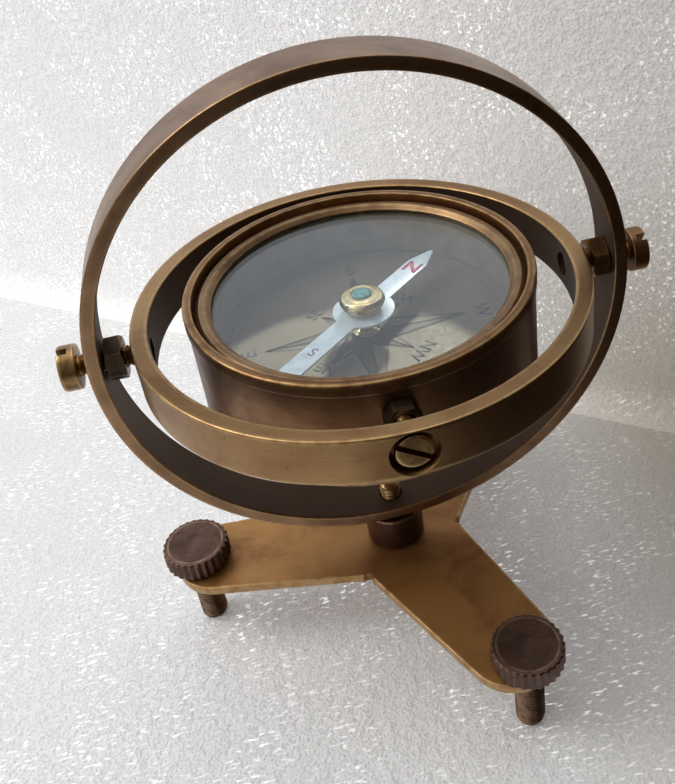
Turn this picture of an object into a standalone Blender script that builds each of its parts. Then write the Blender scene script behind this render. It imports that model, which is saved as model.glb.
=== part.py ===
"""A gimballed ship compass on a levelling tripod, as separate pieces.

A needle compass in a brass bowl hangs in a gimbal ring, which hangs in a fixed upright ring. The upright
ring is bolted through a short boss to a three-armed plate that stands on three knurled levelling screws.
Lengths are in metres. +Z is up, X runs along the gimbal ring's pivots and Y along the bowl's pivots.
The origin is on the ground, at the middle of the whole object's footprint.
"""

import math

import bmesh
import bpy
from mathutils import Matrix

MM = 0.001
GAP = 0.3 * MM  # between two pieces that touch on the real object

# Where the column stands: the tripod is not symmetric in Y, so its axis is a little behind the origin.
AXIS_Y = 3.0 * MM

# Tripod plate
STUD_LENGTH_BELOW = 17.0 * MM
PLATE_THICKNESS = 2.2 * MM
PLATE_TOP = STUD_LENGTH_BELOW + PLATE_THICKNESS
ARM_DIRECTIONS = {"left": 172.7, "front": 292.7, "rear": 52.7}  # degrees from +X
ARM_ROOT_HALF_WIDTH = 12.6 * MM
ARM_END_RADIUS = 10.2 * MM
ARM_END_DISTANCE = 42.5 * MM
CORNER_FLAT = 3.4 * MM
RELIEF_HOLE_RADIUS = 1.1 * MM
RELIEF_HOLE_OFFSET = 0.9 * MM  # outwards from where the edges of two arms would meet

# Levelling screws
SCREW_CIRCLE = 47.5 * MM
STUD_RADIUS = 3.2 * MM
STUD_END_RADIUS = 2.1 * MM
KNOB_RADIUS = 7.75 * MM
KNOB_HEIGHT = 5.1 * MM
KNOB_BOTTOM = PLATE_TOP + 0.4 * MM
KNURL_TEETH = 28
KNURL_DEPTH = 0.35 * MM

# Column
BOSS_RADIUS = 6.7 * MM
BOSS_HEIGHT = 9.0 * MM
BOLT_RADIUS = 2.35 * MM
BOLT_HEAD_RADIUS = 4.3 * MM
BOLT_HEAD_HEIGHT = 3.2 * MM
BOLT_PROTRUSION = 3.8 * MM

# Upright ring
RING_RADIUS = 55.0 * MM
RING_INNER_RADIUS = 52.2 * MM
RING_WIDTH = 11.2 * MM
RING_CENTRE = PLATE_TOP + GAP + BOSS_HEIGHT + GAP + RING_RADIUS
PIVOT_HEIGHT = RING_CENTRE + 1.0 * MM

# Gimbal ring
GIMBAL_RADIUS = 46.2 * MM
GIMBAL_INNER_RADIUS = 42.7 * MM
GIMBAL_WIDTH = 9.8 * MM

# Pivot screws of the gimbal ring, which turn in the upright ring
OUTER_SHANK_RADIUS = 2.2 * MM
OUTER_HEAD_RADIUS = 4.6 * MM
OUTER_HEAD_THICKNESS = 3.4 * MM
OUTER_HEAD_START = 57.0 * MM
OUTER_SCREW_TIP = 43.5 * MM
OUTER_NUT_FLATS = 8.0 * MM
OUTER_NUT_THICKNESS = 3.6 * MM
OUTER_NUT_START = {"left": 48.0 * MM, "right": 48.2 * MM}

# Pivot screws of the bowl, which turn in the gimbal ring
BOWL_SHANK_RADIUS = 1.95 * MM
BOWL_HEAD_RADIUS = 3.45 * MM
BOWL_HEAD_THICKNESS = 1.6 * MM
COUNTERBORE_RADIUS = 4.45 * MM
COUNTERBORE_FLOOR = 43.8 * MM
BOWL_NUT_FLATS = 6.2 * MM
BOWL_NUT_THICKNESS = 3.1 * MM
BOWL_NUT_CORNER = -4.0  # degrees from the pivots' level plane
BOWL_SLOT_ANGLE = -32.0

# Bowl, with heights from the pivot axis
BOWL_RADIUS = 35.0 * MM
BOWL_INNER_RADIUS = 33.5 * MM
BOWL_LIP_RADIUS = 35.3 * MM
BOWL_RIM_TOP = 7.8 * MM
BOWL_LIP_HEIGHT = 2.6 * MM
BOWL_LEDGE = -9.6 * MM
BALLAST_WELL_RADIUS = 29.0 * MM
BALLAST_WELL_FLOOR = -15.0 * MM
BOWL_BOTTOM = -17.0 * MM
BALLAST_RADIUS = 25.0 * MM
BALLAST_THICKNESS = 3.4 * MM

# What lies in the bowl, with heights from the pivot axis
PIECE_RADIUS = BOWL_INNER_RADIUS - GAP
RETAINER_INNER_RADIUS = 30.0 * MM
GLASS_BOTTOM = 3.4 * MM
GLASS_THICKNESS = 1.5 * MM
DIAL_TOP = -7.5 * MM
CARD_THICKNESS = 0.4 * MM
DIAL_PLATE_THICKNESS = 1.0 * MM
LINER_INNER_RADIUS = 31.6 * MM

# Pivot and needle
POST_BASE_RADIUS = 2.9 * MM
POST_RADIUS = 0.9 * MM
POST_TOP = -3.6 * MM
PIN_RADIUS = 0.35 * MM
PIN_TOP = -0.6 * MM
NEEDLE_BOTTOM = -2.1 * MM
NEEDLE_THICKNESS = 0.5 * MM
NEEDLE_LENGTH = 25.4 * MM
NEEDLE_HALF_WIDTH = 2.35 * MM
NEEDLE_HUB_RADIUS = 6.4 * MM
NEEDLE_DIRECTION = 42.0  # degrees from +X, where the north end points at rest
NEEDLE_BORE_RADIUS = 1.3 * MM
CAP_TOP = 2.2 * MM
CAP_RIM_RADIUS = 4.7 * MM
CAP_FOOT_RADIUS = 3.4 * MM
JEWEL_RADIUS = 2.1 * MM
JEWEL_RISE = 0.5 * MM

RING_STEPS = 60
BOWL_STEPS = 48
ROUND_STEPS = 24
EDGE = 0.35 * MM


def clear_scene():
    for obj in list(bpy.data.objects):
        bpy.data.objects.remove(obj, do_unlink=True)


def make_collection(name):
    collection = bpy.data.collections.new(name)
    bpy.context.scene.collection.children.link(collection)
    return collection


def make_material(name, colour, roughness, metallic, transmission=0.0):
    material = bpy.data.materials.new(name)
    material.use_nodes = True
    shader = material.node_tree.nodes["Principled BSDF"]
    shader.inputs["Base Color"].default_value = (*colour, 1.0)
    shader.inputs["Roughness"].default_value = roughness
    shader.inputs["Metallic"].default_value = metallic
    shader.inputs["Transmission Weight"].default_value = transmission
    return material


def add_object(name, mesh, material, parent, location=(0, 0, 0), rotation=(0, 0, 0)):
    obj = bpy.data.objects.new(name, mesh)
    parts.objects.link(obj)
    obj.parent = parent
    obj.location = location
    obj.rotation_euler = [math.radians(angle) for angle in rotation]
    if material:
        mesh.materials.append(material)
    mesh.shade_smooth()
    mesh.set_sharp_from_angle(angle=math.radians(32))
    return obj


def add_empty(name, parent, location):
    empty = bpy.data.objects.new(name, None)
    parts.objects.link(empty)
    empty.parent = parent
    empty.location = location
    return empty


def cylinder_mesh(name, radius, low, high, segments=ROUND_STEPS):
    """A cylinder on Z from low to high."""
    bm = bmesh.new()
    bmesh.ops.create_cone(
        bm, cap_ends=True, segments=segments, radius1=radius, radius2=radius, depth=high - low
    )
    bmesh.ops.translate(bm, verts=bm.verts, vec=(0, 0, (low + high) / 2))
    mesh = bpy.data.meshes.new(name)
    bm.to_mesh(mesh)
    bm.free()
    return mesh


def box_mesh(name, size, centre):
    bm = bmesh.new()
    bmesh.ops.create_cube(bm, size=1.0)
    bmesh.ops.scale(bm, verts=bm.verts, vec=size)
    bmesh.ops.translate(bm, verts=bm.verts, vec=centre)
    mesh = bpy.data.meshes.new(name)
    bm.to_mesh(mesh)
    bm.free()
    return mesh


def turned(name, profile, material, parent, steps=ROUND_STEPS, ring=False, **placed):
    """A profile of (radius, height) points turned about Z. It runs down its outer side; a ring's is closed."""
    mesh = bpy.data.meshes.new(name)
    bm = bmesh.new()
    points = [bm.verts.new((radius, 0, height)) for radius, height in profile]
    for start, end in zip(points, points[1:]):
        bm.edges.new((start, end))
    if ring:
        bm.edges.new((points[-1], points[0]))
    bm.to_mesh(mesh)
    bm.free()
    obj = add_object(name, mesh, material, parent, **placed)
    screw = obj.modifiers.new("turn", "SCREW")
    screw.axis = "Z"
    screw.steps = screw.render_steps = steps
    screw.use_merge_vertices = True
    screw.merge_threshold = 1e-6
    screw.use_smooth_shade = True
    return obj


def cutter(name, mesh, parent, location=(0, 0, 0), rotation=(0, 0, 0)):
    obj = bpy.data.objects.new(name, mesh)
    cutters.objects.link(obj)
    obj.parent = parent
    obj.location = location
    obj.rotation_euler = [math.radians(angle) for angle in rotation]
    obj.hide_render = True
    obj.display_type = "WIRE"
    return obj


def combine(obj, other, operation):
    boolean = obj.modifiers.new(f"{operation.lower()}_{other.name}", "BOOLEAN")
    boolean.operation = operation
    boolean.solver = "EXACT"
    boolean.object = other


def cut(obj, other):
    combine(obj, other, "DIFFERENCE")


def flat_solid(name, outlines, thickness, material, parent, **placed):
    """A flat sheet from closed outlines of (x, y) points, the first one the edge and the others holes."""
    curve = bpy.data.curves.new(name, "CURVE")
    curve.dimensions = "2D"
    curve.fill_mode = "BOTH"
    curve.extrude = thickness / 2
    for outline in outlines:
        spline = curve.splines.new("POLY")
        spline.points.add(len(outline) - 1)
        for point, (x, y) in zip(spline.points, outline):
            point.co = (x, y, 0, 1)
        spline.use_cyclic_u = True
    source = bpy.data.objects.new(name + "_outline", curve)
    bpy.context.scene.collection.objects.link(source)
    graph = bpy.context.evaluated_depsgraph_get()
    mesh = bpy.data.meshes.new_from_object(source.evaluated_get(graph))
    bpy.data.objects.remove(source, do_unlink=True)
    mesh.name = name
    bm = bmesh.new()
    bm.from_mesh(mesh)
    bmesh.ops.remove_doubles(bm, verts=bm.verts, dist=1e-6)
    bmesh.ops.recalc_face_normals(bm, faces=bm.faces)
    bm.to_mesh(mesh)
    bm.free()
    mesh.materials.clear()
    return add_object(name, mesh, material, parent, **placed)


def arc(centre, radius, start, end, count):
    """Points on an arc about centre, with angles in degrees."""
    angles = [math.radians(start + (end - start) * i / count) for i in range(count + 1)]
    return [(centre[0] + radius * math.cos(a), centre[1] + radius * math.sin(a)) for a in angles]


def strip_ring_profile(outer, inner, width):
    """The section of a flat hoop with its four edges broken."""
    half = width / 2
    return [
        (inner, half - EDGE), (inner + EDGE, half), (outer - EDGE, half), (outer, half - EDGE),
        (outer, EDGE - half), (outer - EDGE, -half), (inner + EDGE, -half), (inner, EDGE - half),
    ]


def hex_nut(name, size, corner_angle, material, parent, **placed):
    """A nut on Z with its bottom at 0 and a corner at corner_angle from X. size is (flats, thickness, bore)."""
    flats, thickness, bore = size
    corner = flats / 2 / math.cos(math.radians(30))
    bm = bmesh.new()
    bmesh.ops.create_cone(
        bm, cap_ends=True, segments=6, radius1=corner, radius2=corner, depth=thickness
    )
    bmesh.ops.translate(bm, verts=bm.verts, vec=(0, 0, thickness / 2))
    turn = Matrix.Rotation(math.radians(corner_angle - 30), 3, "Z")
    bmesh.ops.rotate(bm, verts=bm.verts, cent=(0, 0, 0), matrix=turn)
    mesh = bpy.data.meshes.new(name)
    bm.to_mesh(mesh)
    bm.free()
    nut = add_object(name, mesh, material, parent, **placed)
    hole = cylinder_mesh(name + "_bore", bore, -MM, thickness + MM, 24)
    cut(nut, cutter(name + "_bore", hole, parent, **placed))
    return nut


def slotted_screw(name, head, shank, slot, material, parent, **placed):
    """A cheese-headed screw on Z whose shank points down. head is (radius, low, high); shank is
    (radius, low end); slot is (width, depth, angle about Z in degrees)."""
    head_radius, low, high = head
    shank_radius, tip = shank
    width, depth, angle = slot
    profile = [
        (0, high), (head_radius - EDGE, high), (head_radius, high - EDGE), (head_radius, low),
        (shank_radius, low), (shank_radius, tip + EDGE), (shank_radius - EDGE, tip), (0, tip),
    ]
    screw = turned(name, profile, material, parent, **placed)
    groove = box_mesh(name + "_slot", (4 * head_radius, width, 2 * depth), (0, 0, high))
    turn = math.radians(angle)
    for vertex in groove.vertices:
        x, y, z = vertex.co
        vertex.co = (
            x * math.cos(turn) - y * math.sin(turn), x * math.sin(turn) + y * math.cos(turn), z
        )
    cut(screw, cutter(name + "_slot", groove, parent, **placed))
    return screw


def direction(angle):
    return math.cos(math.radians(angle)), math.sin(math.radians(angle))


def plate_outline():
    """Three tapering arms with round ends. Each inner corner between two arms is cut off by a short flat."""
    flat_step = CORNER_FLAT / 2 / math.cos(math.radians(30))
    root_distance = ARM_ROOT_HALF_WIDTH / math.tan(math.radians(60)) + flat_step
    outline = []
    for angle in sorted(ARM_DIRECTIONS.values()):
        ux, uy = direction(angle)
        right, left = (
            (ux * root_distance - uy * across, uy * root_distance + ux * across)
            for across in (-ARM_ROOT_HALF_WIDTH, ARM_ROOT_HALF_WIDTH)
        )
        centre = (ux * ARM_END_DISTANCE, uy * ARM_END_DISTANCE)
        outline.append(right)
        outline += arc(centre, ARM_END_RADIUS, angle - 87, angle + 87, 16)
        outline.append(left)
    return outline


def build_base():
    plate = flat_solid(
        "tripod_base_plate", [plate_outline()], PLATE_THICKNESS, satin_brass, root,
        location=(0, 0, STUD_LENGTH_BELOW + PLATE_THICKNESS / 2),
    )
    top = PLATE_TOP + MM
    bottom = STUD_LENGTH_BELOW - MM
    for name, angle in ARM_DIRECTIONS.items():
        ux, uy = direction(angle)
        hole = cylinder_mesh(f"{name}_stud_hole", STUD_RADIUS + GAP, bottom, top)
        place = (ux * SCREW_CIRCLE, uy * SCREW_CIRCLE, 0)
        cut(plate, cutter(f"{name}_stud_hole", hole, root, place))
        cx, cy = direction(angle + 60)
        corner = ARM_ROOT_HALF_WIDTH / math.sin(math.radians(60)) + RELIEF_HOLE_OFFSET
        relief = cylinder_mesh(f"{name}_relief", RELIEF_HOLE_RADIUS, bottom, top, 12)
        cut(plate, cutter(f"{name}_relief", relief, root, (cx * corner, cy * corner, 0)))
    hole = cylinder_mesh("bolt_hole", BOLT_RADIUS + GAP, bottom, top)
    cut(plate, cutter("bolt_hole", hole, root))

    low = PLATE_TOP + GAP
    high = low + BOSS_HEIGHT
    bore = BOLT_RADIUS + GAP
    turned(
        "column_boss",
        [
            (bore, high), (BOSS_RADIUS - EDGE, high), (BOSS_RADIUS, high - EDGE),
            (BOSS_RADIUS, low + EDGE), (BOSS_RADIUS - EDGE, low), (bore, low),
        ],
        dark_brass, root, steps=24, ring=True,
    )

    head_top = STUD_LENGTH_BELOW - GAP
    tip = RING_CENTRE - RING_INNER_RADIUS + BOLT_PROTRUSION
    bolt = turned(
        "column_bolt",
        [
            (0, tip), (0.55 * BOLT_RADIUS, tip - 0.15 * MM), (BOLT_RADIUS, tip - 0.9 * MM),
            (BOLT_RADIUS, head_top), (BOLT_HEAD_RADIUS, head_top),
            (BOLT_HEAD_RADIUS, head_top - BOLT_HEAD_HEIGHT + EDGE),
            (BOLT_HEAD_RADIUS - EDGE, head_top - BOLT_HEAD_HEIGHT), (0, head_top - BOLT_HEAD_HEIGHT),
        ],
        old_brass, root,
    )
    slot = box_mesh(
        "bolt_slot", (4 * BOLT_HEAD_RADIUS, 1.1 * MM, 2.4 * MM),
        (0, 0, head_top - BOLT_HEAD_HEIGHT),
    )
    cut(bolt, cutter("bolt_slot", slot, root))


def build_levelling_screws():
    for name, angle in ARM_DIRECTIONS.items():
        ux, uy = direction(angle)
        stand = add_empty(
            f"levelling_axis_{name}", root, (ux * SCREW_CIRCLE, uy * SCREW_CIRCLE, 0)
        )
        shoulder = KNOB_BOTTOM - GAP
        knob_top = KNOB_BOTTOM + KNOB_HEIGHT
        turned(
            f"levelling_stud_{name}",
            [
                (0, knob_top + 0.1 * MM), (STUD_END_RADIUS, knob_top - 0.1 * MM),
                (STUD_END_RADIUS, shoulder), (STUD_RADIUS, shoulder), (STUD_RADIUS, 1.1 * MM),
                (2.6 * MM, 0.25 * MM), (1.9 * MM, 0), (0, 0),
            ],
            dark_brass, stand, steps=24,
        )
        knob = turned(
            f"levelling_knob_{name}",
            [
                (STUD_END_RADIUS + GAP, knob_top), (KNOB_RADIUS - 1.0 * MM, knob_top),
                (KNOB_RADIUS, knob_top - 0.6 * MM), (KNOB_RADIUS, KNOB_BOTTOM + 0.3 * MM),
                (KNOB_RADIUS - 0.5 * MM, KNOB_BOTTOM), (STUD_END_RADIUS + GAP, KNOB_BOTTOM),
            ],
            dark_brass, stand, steps=2 * KNURL_TEETH, ring=True,
        )
        cut(knob, cutter(f"{name}_knurl", knurl_mesh(f"{name}_knurl"), stand))


def knurl_mesh(name):
    """A ring around the knob whose inner wall is a row of teeth, which cuts the knurl's grooves."""
    outer = KNOB_RADIUS + 2 * MM
    low, high = KNOB_BOTTOM - MM, KNOB_BOTTOM + KNOB_HEIGHT + MM
    bm = bmesh.new()
    count = 2 * KNURL_TEETH
    rows = []
    for i in range(count):
        angle = 2 * math.pi * i / count
        inner = KNOB_RADIUS + (0.2 * MM if i % 2 else -KNURL_DEPTH)
        c, s = math.cos(angle), math.sin(angle)
        rows.append([
            bm.verts.new((radius * c, radius * s, height))
            for radius, height in ((inner, high), (outer, high), (outer, low), (inner, low))
        ])
    for i in range(count):
        here, there = rows[i], rows[(i + 1) % count]
        for k in range(4):
            bm.faces.new((here[k], there[k], there[(k + 1) % 4], here[(k + 1) % 4]))
    bmesh.ops.recalc_face_normals(bm, faces=bm.faces)
    mesh = bpy.data.meshes.new(name)
    bm.to_mesh(mesh)
    bm.free()
    return mesh


def build_upright_ring():
    centre = add_empty("upright_ring_centre", root, (0, 0, RING_CENTRE))
    ring = turned(
        "outer_ring", strip_ring_profile(RING_RADIUS, RING_INNER_RADIUS, RING_WIDTH),
        dark_brass, centre, steps=RING_STEPS, ring=True, rotation=(90, 0, 0),
    )
    reach = RING_RADIUS + 5 * MM
    hole = cylinder_mesh("pivot_holes", OUTER_SHANK_RADIUS + 0.4 * MM, -reach, reach)
    rise = PIVOT_HEIGHT - RING_CENTRE
    cut(ring, cutter("pivot_holes", hole, centre, (0, 0, rise), (0, 90, 0)))
    hole = cylinder_mesh("ring_bolt_hole", BOLT_RADIUS + GAP, -reach, -RING_INNER_RADIUS + 4 * MM)
    cut(ring, cutter("ring_bolt_hole", hole, centre))


def build_gimbal():
    ring = turned(
        "gimbal_ring", strip_ring_profile(GIMBAL_RADIUS, GIMBAL_INNER_RADIUS, GIMBAL_WIDTH),
        satin_brass, gimbal, steps=RING_STEPS, ring=True,
    )
    reach = GIMBAL_RADIUS + 5 * MM
    along_x = cylinder_mesh("gimbal_screw_holes", OUTER_SHANK_RADIUS + GAP, -reach, reach)
    cut(ring, cutter("gimbal_screw_holes", along_x, gimbal, rotation=(0, 90, 0)))
    along_y = cylinder_mesh("bowl_screw_holes", BOWL_SHANK_RADIUS + 0.35 * MM, -reach, reach)
    cut(ring, cutter("bowl_screw_holes", along_y, gimbal, rotation=(90, 0, 0)))
    for name, turn in (("front", 90), ("rear", -90)):
        recess = cylinder_mesh(f"{name}_counterbore", COUNTERBORE_RADIUS, COUNTERBORE_FLOOR, reach)
        cut(ring, cutter(f"{name}_counterbore", recess, gimbal, rotation=(turn, 0, 0)))

    for name, turn, slot_angle, corner_angle in (("left", -90, -10, 13.7), ("right", 90, 29, -3)):
        slotted_screw(
            f"outer_pivot_screw_{name}",
            (OUTER_HEAD_RADIUS, OUTER_HEAD_START, OUTER_HEAD_START + OUTER_HEAD_THICKNESS),
            (OUTER_SHANK_RADIUS, OUTER_SCREW_TIP),
            (1.5 * MM, 2.1 * MM, slot_angle), old_brass, gimbal, rotation=(0, turn, 0),
        )
        hex_nut(
            f"outer_pivot_nut_{name}", (OUTER_NUT_FLATS, OUTER_NUT_THICKNESS, OUTER_SHANK_RADIUS + GAP),
            corner_angle, dark_brass, gimbal,
            location=(math.copysign(OUTER_NUT_START[name], turn), 0, 0), rotation=(0, turn, 0),
        )


def build_bowl():
    case = turned(
        "bowl_case",
        [
            (0, BALLAST_WELL_FLOOR), (BALLAST_WELL_RADIUS, BALLAST_WELL_FLOOR),
            (BALLAST_WELL_RADIUS, BOWL_LEDGE), (BOWL_INNER_RADIUS, BOWL_LEDGE),
            (BOWL_INNER_RADIUS, BOWL_RIM_TOP - 0.2 * MM),
            (BOWL_INNER_RADIUS + 0.2 * MM, BOWL_RIM_TOP), (BOWL_LIP_RADIUS - 0.3 * MM, BOWL_RIM_TOP),
            (BOWL_LIP_RADIUS, BOWL_RIM_TOP - 0.3 * MM), (BOWL_LIP_RADIUS, BOWL_RIM_TOP - BOWL_LIP_HEIGHT),
            (BOWL_RADIUS, BOWL_RIM_TOP - BOWL_LIP_HEIGHT - 0.3 * MM),
            (BOWL_RADIUS, BOWL_BOTTOM + 1.2 * MM), (BOWL_RADIUS - 0.4 * MM, BOWL_BOTTOM + 0.4 * MM),
            (BOWL_RADIUS - 1.2 * MM, BOWL_BOTTOM), (0, BOWL_BOTTOM),
        ],
        dark_brass, bowl, steps=BOWL_STEPS,
    )
    reach = BOWL_RADIUS + 5 * MM
    hole = cylinder_mesh("bowl_wall_holes", BOWL_SHANK_RADIUS + GAP, -reach, reach)
    cut(case, cutter("bowl_wall_holes", hole, bowl, rotation=(90, 0, 0)))

    for name, turn in (("front", 90), ("rear", -90)):
        head_low = COUNTERBORE_FLOOR + GAP
        slotted_screw(
            f"bowl_pivot_screw_{name}",
            (BOWL_HEAD_RADIUS, head_low, head_low + BOWL_HEAD_THICKNESS),
            (BOWL_SHANK_RADIUS, BOWL_INNER_RADIUS + 0.1 * MM),
            (1.1 * MM, 0.9 * MM, BOWL_SLOT_ANGLE), old_brass, bowl, rotation=(turn, 0, 0),
        )
        hex_nut(
            f"bowl_pivot_nut_{name}", (BOWL_NUT_FLATS, BOWL_NUT_THICKNESS, BOWL_SHANK_RADIUS + GAP),
            BOWL_NUT_CORNER, dark_brass, bowl, rotation=(turn, 0, 0),
            location=(0, -math.copysign(BOWL_RADIUS + GAP, turn), 0),
        )

    ballast_low = BALLAST_WELL_FLOOR + GAP
    turned(
        "ballast_weight",
        [
            (0, ballast_low + BALLAST_THICKNESS), (BALLAST_RADIUS - MM, ballast_low + BALLAST_THICKNESS),
            (BALLAST_RADIUS, ballast_low + BALLAST_THICKNESS - MM), (BALLAST_RADIUS, ballast_low),
            (0, ballast_low),
        ],
        lead_grey, bowl, steps=40,
    )
    glass_low = GLASS_BOTTOM
    glass_high = GLASS_BOTTOM + GLASS_THICKNESS
    turned(
        "cover_glass",
        [
            (0, glass_high), (PIECE_RADIUS - 0.2 * MM, glass_high), (PIECE_RADIUS, glass_high - 0.2 * MM),
            (PIECE_RADIUS, glass_low), (0, glass_low),
        ],
        clear_glass, bowl, steps=BOWL_STEPS,
    )
    seat = glass_high + GAP
    turned(
        "retaining_ring",
        [
            (RETAINER_INNER_RADIUS, seat + 0.4 * MM), (RETAINER_INNER_RADIUS + 0.5 * MM, seat + 0.9 * MM),
            (RETAINER_INNER_RADIUS + 1.3 * MM, seat + 1.25 * MM),
            (PIECE_RADIUS - 0.9 * MM, seat + 1.25 * MM), (PIECE_RADIUS - 0.2 * MM, seat + 0.9 * MM),
            (PIECE_RADIUS, seat + 0.5 * MM), (PIECE_RADIUS, seat), (RETAINER_INNER_RADIUS, seat),
        ],
        satin_brass, bowl, steps=BOWL_STEPS, ring=True,
    )
    liner_low, liner_high = DIAL_TOP + GAP, glass_low - GAP
    turned(
        "spacer_ring",
        [
            (LINER_INNER_RADIUS, liner_high), (PIECE_RADIUS, liner_high),
            (PIECE_RADIUS, liner_low), (LINER_INNER_RADIUS, liner_low),
        ],
        grey_paint, bowl, steps=BOWL_STEPS, ring=True,
    )
    hole_radius = PIN_RADIUS + GAP
    card_low = DIAL_TOP - CARD_THICKNESS
    plate_high = card_low - GAP
    plate_low = plate_high - DIAL_PLATE_THICKNESS
    turned(
        "dial_card",
        [(hole_radius, DIAL_TOP), (PIECE_RADIUS, DIAL_TOP), (PIECE_RADIUS, card_low), (hole_radius, card_low)],
        aged_paper, bowl, steps=BOWL_STEPS, ring=True,
    )
    turned(
        "dial_plate",
        [
            (hole_radius, plate_high), (PIECE_RADIUS, plate_high), (PIECE_RADIUS, plate_low),
            (hole_radius, plate_low),
        ],
        old_brass, bowl, steps=BOWL_STEPS, ring=True,
    )


def build_needle():
    bore = PIN_RADIUS + 0.1 * MM
    foot = DIAL_TOP + GAP
    turned(
        "pivot_post",
        [
            (bore, POST_TOP), (POST_RADIUS - 0.2 * MM, POST_TOP), (POST_RADIUS, POST_TOP - 0.2 * MM),
            (POST_RADIUS, foot + 2.2 * MM), (POST_RADIUS + 0.5 * MM, foot + 1.4 * MM),
            (POST_BASE_RADIUS - 0.5 * MM, foot + 0.8 * MM), (POST_BASE_RADIUS, foot + 0.6 * MM),
            (POST_BASE_RADIUS, foot), (bore, foot),
        ],
        polished_brass, bowl, steps=24, ring=True,
    )
    pin_low = DIAL_TOP - CARD_THICKNESS - GAP - DIAL_PLATE_THICKNESS
    turned(
        "pivot_pin",
        [(0, PIN_TOP), (PIN_RADIUS, PIN_TOP - 1.1 * MM), (PIN_RADIUS, pin_low), (0, pin_low)],
        bright_steel, bowl, steps=12,
    )

    half = math.degrees(math.asin(NEEDLE_HALF_WIDTH / NEEDLE_HUB_RADIUS))
    shoulder = NEEDLE_LENGTH - 2.6 * NEEDLE_HALF_WIDTH
    outline = [(NEEDLE_LENGTH, 0), (shoulder, NEEDLE_HALF_WIDTH)]
    outline += arc((0, 0), NEEDLE_HUB_RADIUS, half, 180 - half, 10)
    outline += arc((NEEDLE_HALF_WIDTH - NEEDLE_LENGTH, 0), NEEDLE_HALF_WIDTH, 90, 270, 8)
    outline += arc((0, 0), NEEDLE_HUB_RADIUS, 180 + half, 360 - half, 10)
    outline += [(shoulder, -NEEDLE_HALF_WIDTH)]
    bore_outline = arc((0, 0), NEEDLE_BORE_RADIUS, 0, 330, 11)
    flat_solid(
        "needle", [outline, bore_outline], NEEDLE_THICKNESS, pale_paint, needle_axis,
        location=(0, 0, NEEDLE_BOTTOM + NEEDLE_THICKNESS / 2), rotation=(0, 0, NEEDLE_DIRECTION),
    )
    foot = NEEDLE_BOTTOM + NEEDLE_THICKNESS + GAP
    jewel_seat = CAP_TOP - 0.4 * MM
    turned(
        "needle_cap",
        [
            (0, jewel_seat), (JEWEL_RADIUS + 0.15 * MM, jewel_seat), (JEWEL_RADIUS + 0.15 * MM, CAP_TOP),
            (CAP_RIM_RADIUS - 1.7 * MM, CAP_TOP), (CAP_RIM_RADIUS - 0.5 * MM, CAP_TOP - 0.5 * MM),
            (CAP_RIM_RADIUS, CAP_TOP - 1.2 * MM), (CAP_RIM_RADIUS, CAP_TOP - 1.8 * MM),
            (CAP_RIM_RADIUS - 0.4 * MM, CAP_TOP - 2.3 * MM), (CAP_FOOT_RADIUS + 0.3 * MM, foot + 0.5 * MM),
            (CAP_FOOT_RADIUS, foot), (1.2 * MM, foot), (1.2 * MM, foot + 0.3 * MM),
            (0.7 * MM, PIN_TOP + 0.35 * MM), (0, PIN_TOP + 0.45 * MM),
        ],
        polished_brass, needle_axis, steps=32,
    )
    jewel_low = jewel_seat + 0.1 * MM
    turned(
        "cap_jewel",
        [
            (0, CAP_TOP + JEWEL_RISE), (0.6 * JEWEL_RADIUS, CAP_TOP + 0.75 * JEWEL_RISE),
            (0.9 * JEWEL_RADIUS, CAP_TOP + 0.2 * JEWEL_RISE), (JEWEL_RADIUS - 0.1 * MM, CAP_TOP - 0.15 * MM),
            (JEWEL_RADIUS - 0.1 * MM, jewel_low), (0, jewel_low),
        ],
        green_jewel, needle_axis, steps=24,
    )


clear_scene()
parts = make_collection("ship_compass")
cutters = make_collection("cutters")

satin_brass = make_material("satin_brass", (0.42, 0.27, 0.12), 0.42, 1.0)
dark_brass = make_material("dark_brass", (0.12, 0.075, 0.05), 0.5, 1.0)
old_brass = make_material("old_brass", (0.33, 0.22, 0.10), 0.4, 1.0)
polished_brass = make_material("polished_brass", (0.78, 0.62, 0.30), 0.15, 1.0)
bright_steel = make_material("bright_steel", (0.6, 0.6, 0.6), 0.25, 1.0)
lead_grey = make_material("lead_grey", (0.2, 0.2, 0.21), 0.7, 0.3)
aged_paper = make_material("aged_paper", (0.62, 0.55, 0.42), 0.8, 0.0)
pale_paint = make_material("pale_paint", (0.72, 0.8, 0.86), 0.45, 0.0)
grey_paint = make_material("grey_paint", (0.30, 0.30, 0.30), 0.6, 0.0)
green_jewel = make_material("green_jewel", (0.08, 0.36, 0.28), 0.15, 0.0)
clear_glass = make_material("clear_glass", (0.9, 0.93, 0.95), 0.03, 0.0, 1.0)

root = add_empty("compass", None, (0, AXIS_Y, 0))
gimbal = add_empty("gimbal_tilt_axis", root, (0, 0, PIVOT_HEIGHT))
bowl = add_empty("bowl_tilt_axis", gimbal, (0, 0, 0))
needle_axis = add_empty("needle_axis", bowl, (0, 0, 0))

build_base()
build_levelling_screws()
build_upright_ring()
build_gimbal()
build_bowl()
build_needle()
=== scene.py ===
"""The finished look of the ship compass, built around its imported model.

Each CAD node that shows is replaced by a smoother, more detailed piece in the same place: turned
parts have fillets, screws have threads and slots, knobs are knurled, and the dial is printed.
Lengths are in metres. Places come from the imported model; sizes that it doesn't give as a box are
named here in millimetres.
"""

import math

import bmesh
import bpy
from mathutils import Matrix, Vector


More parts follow.
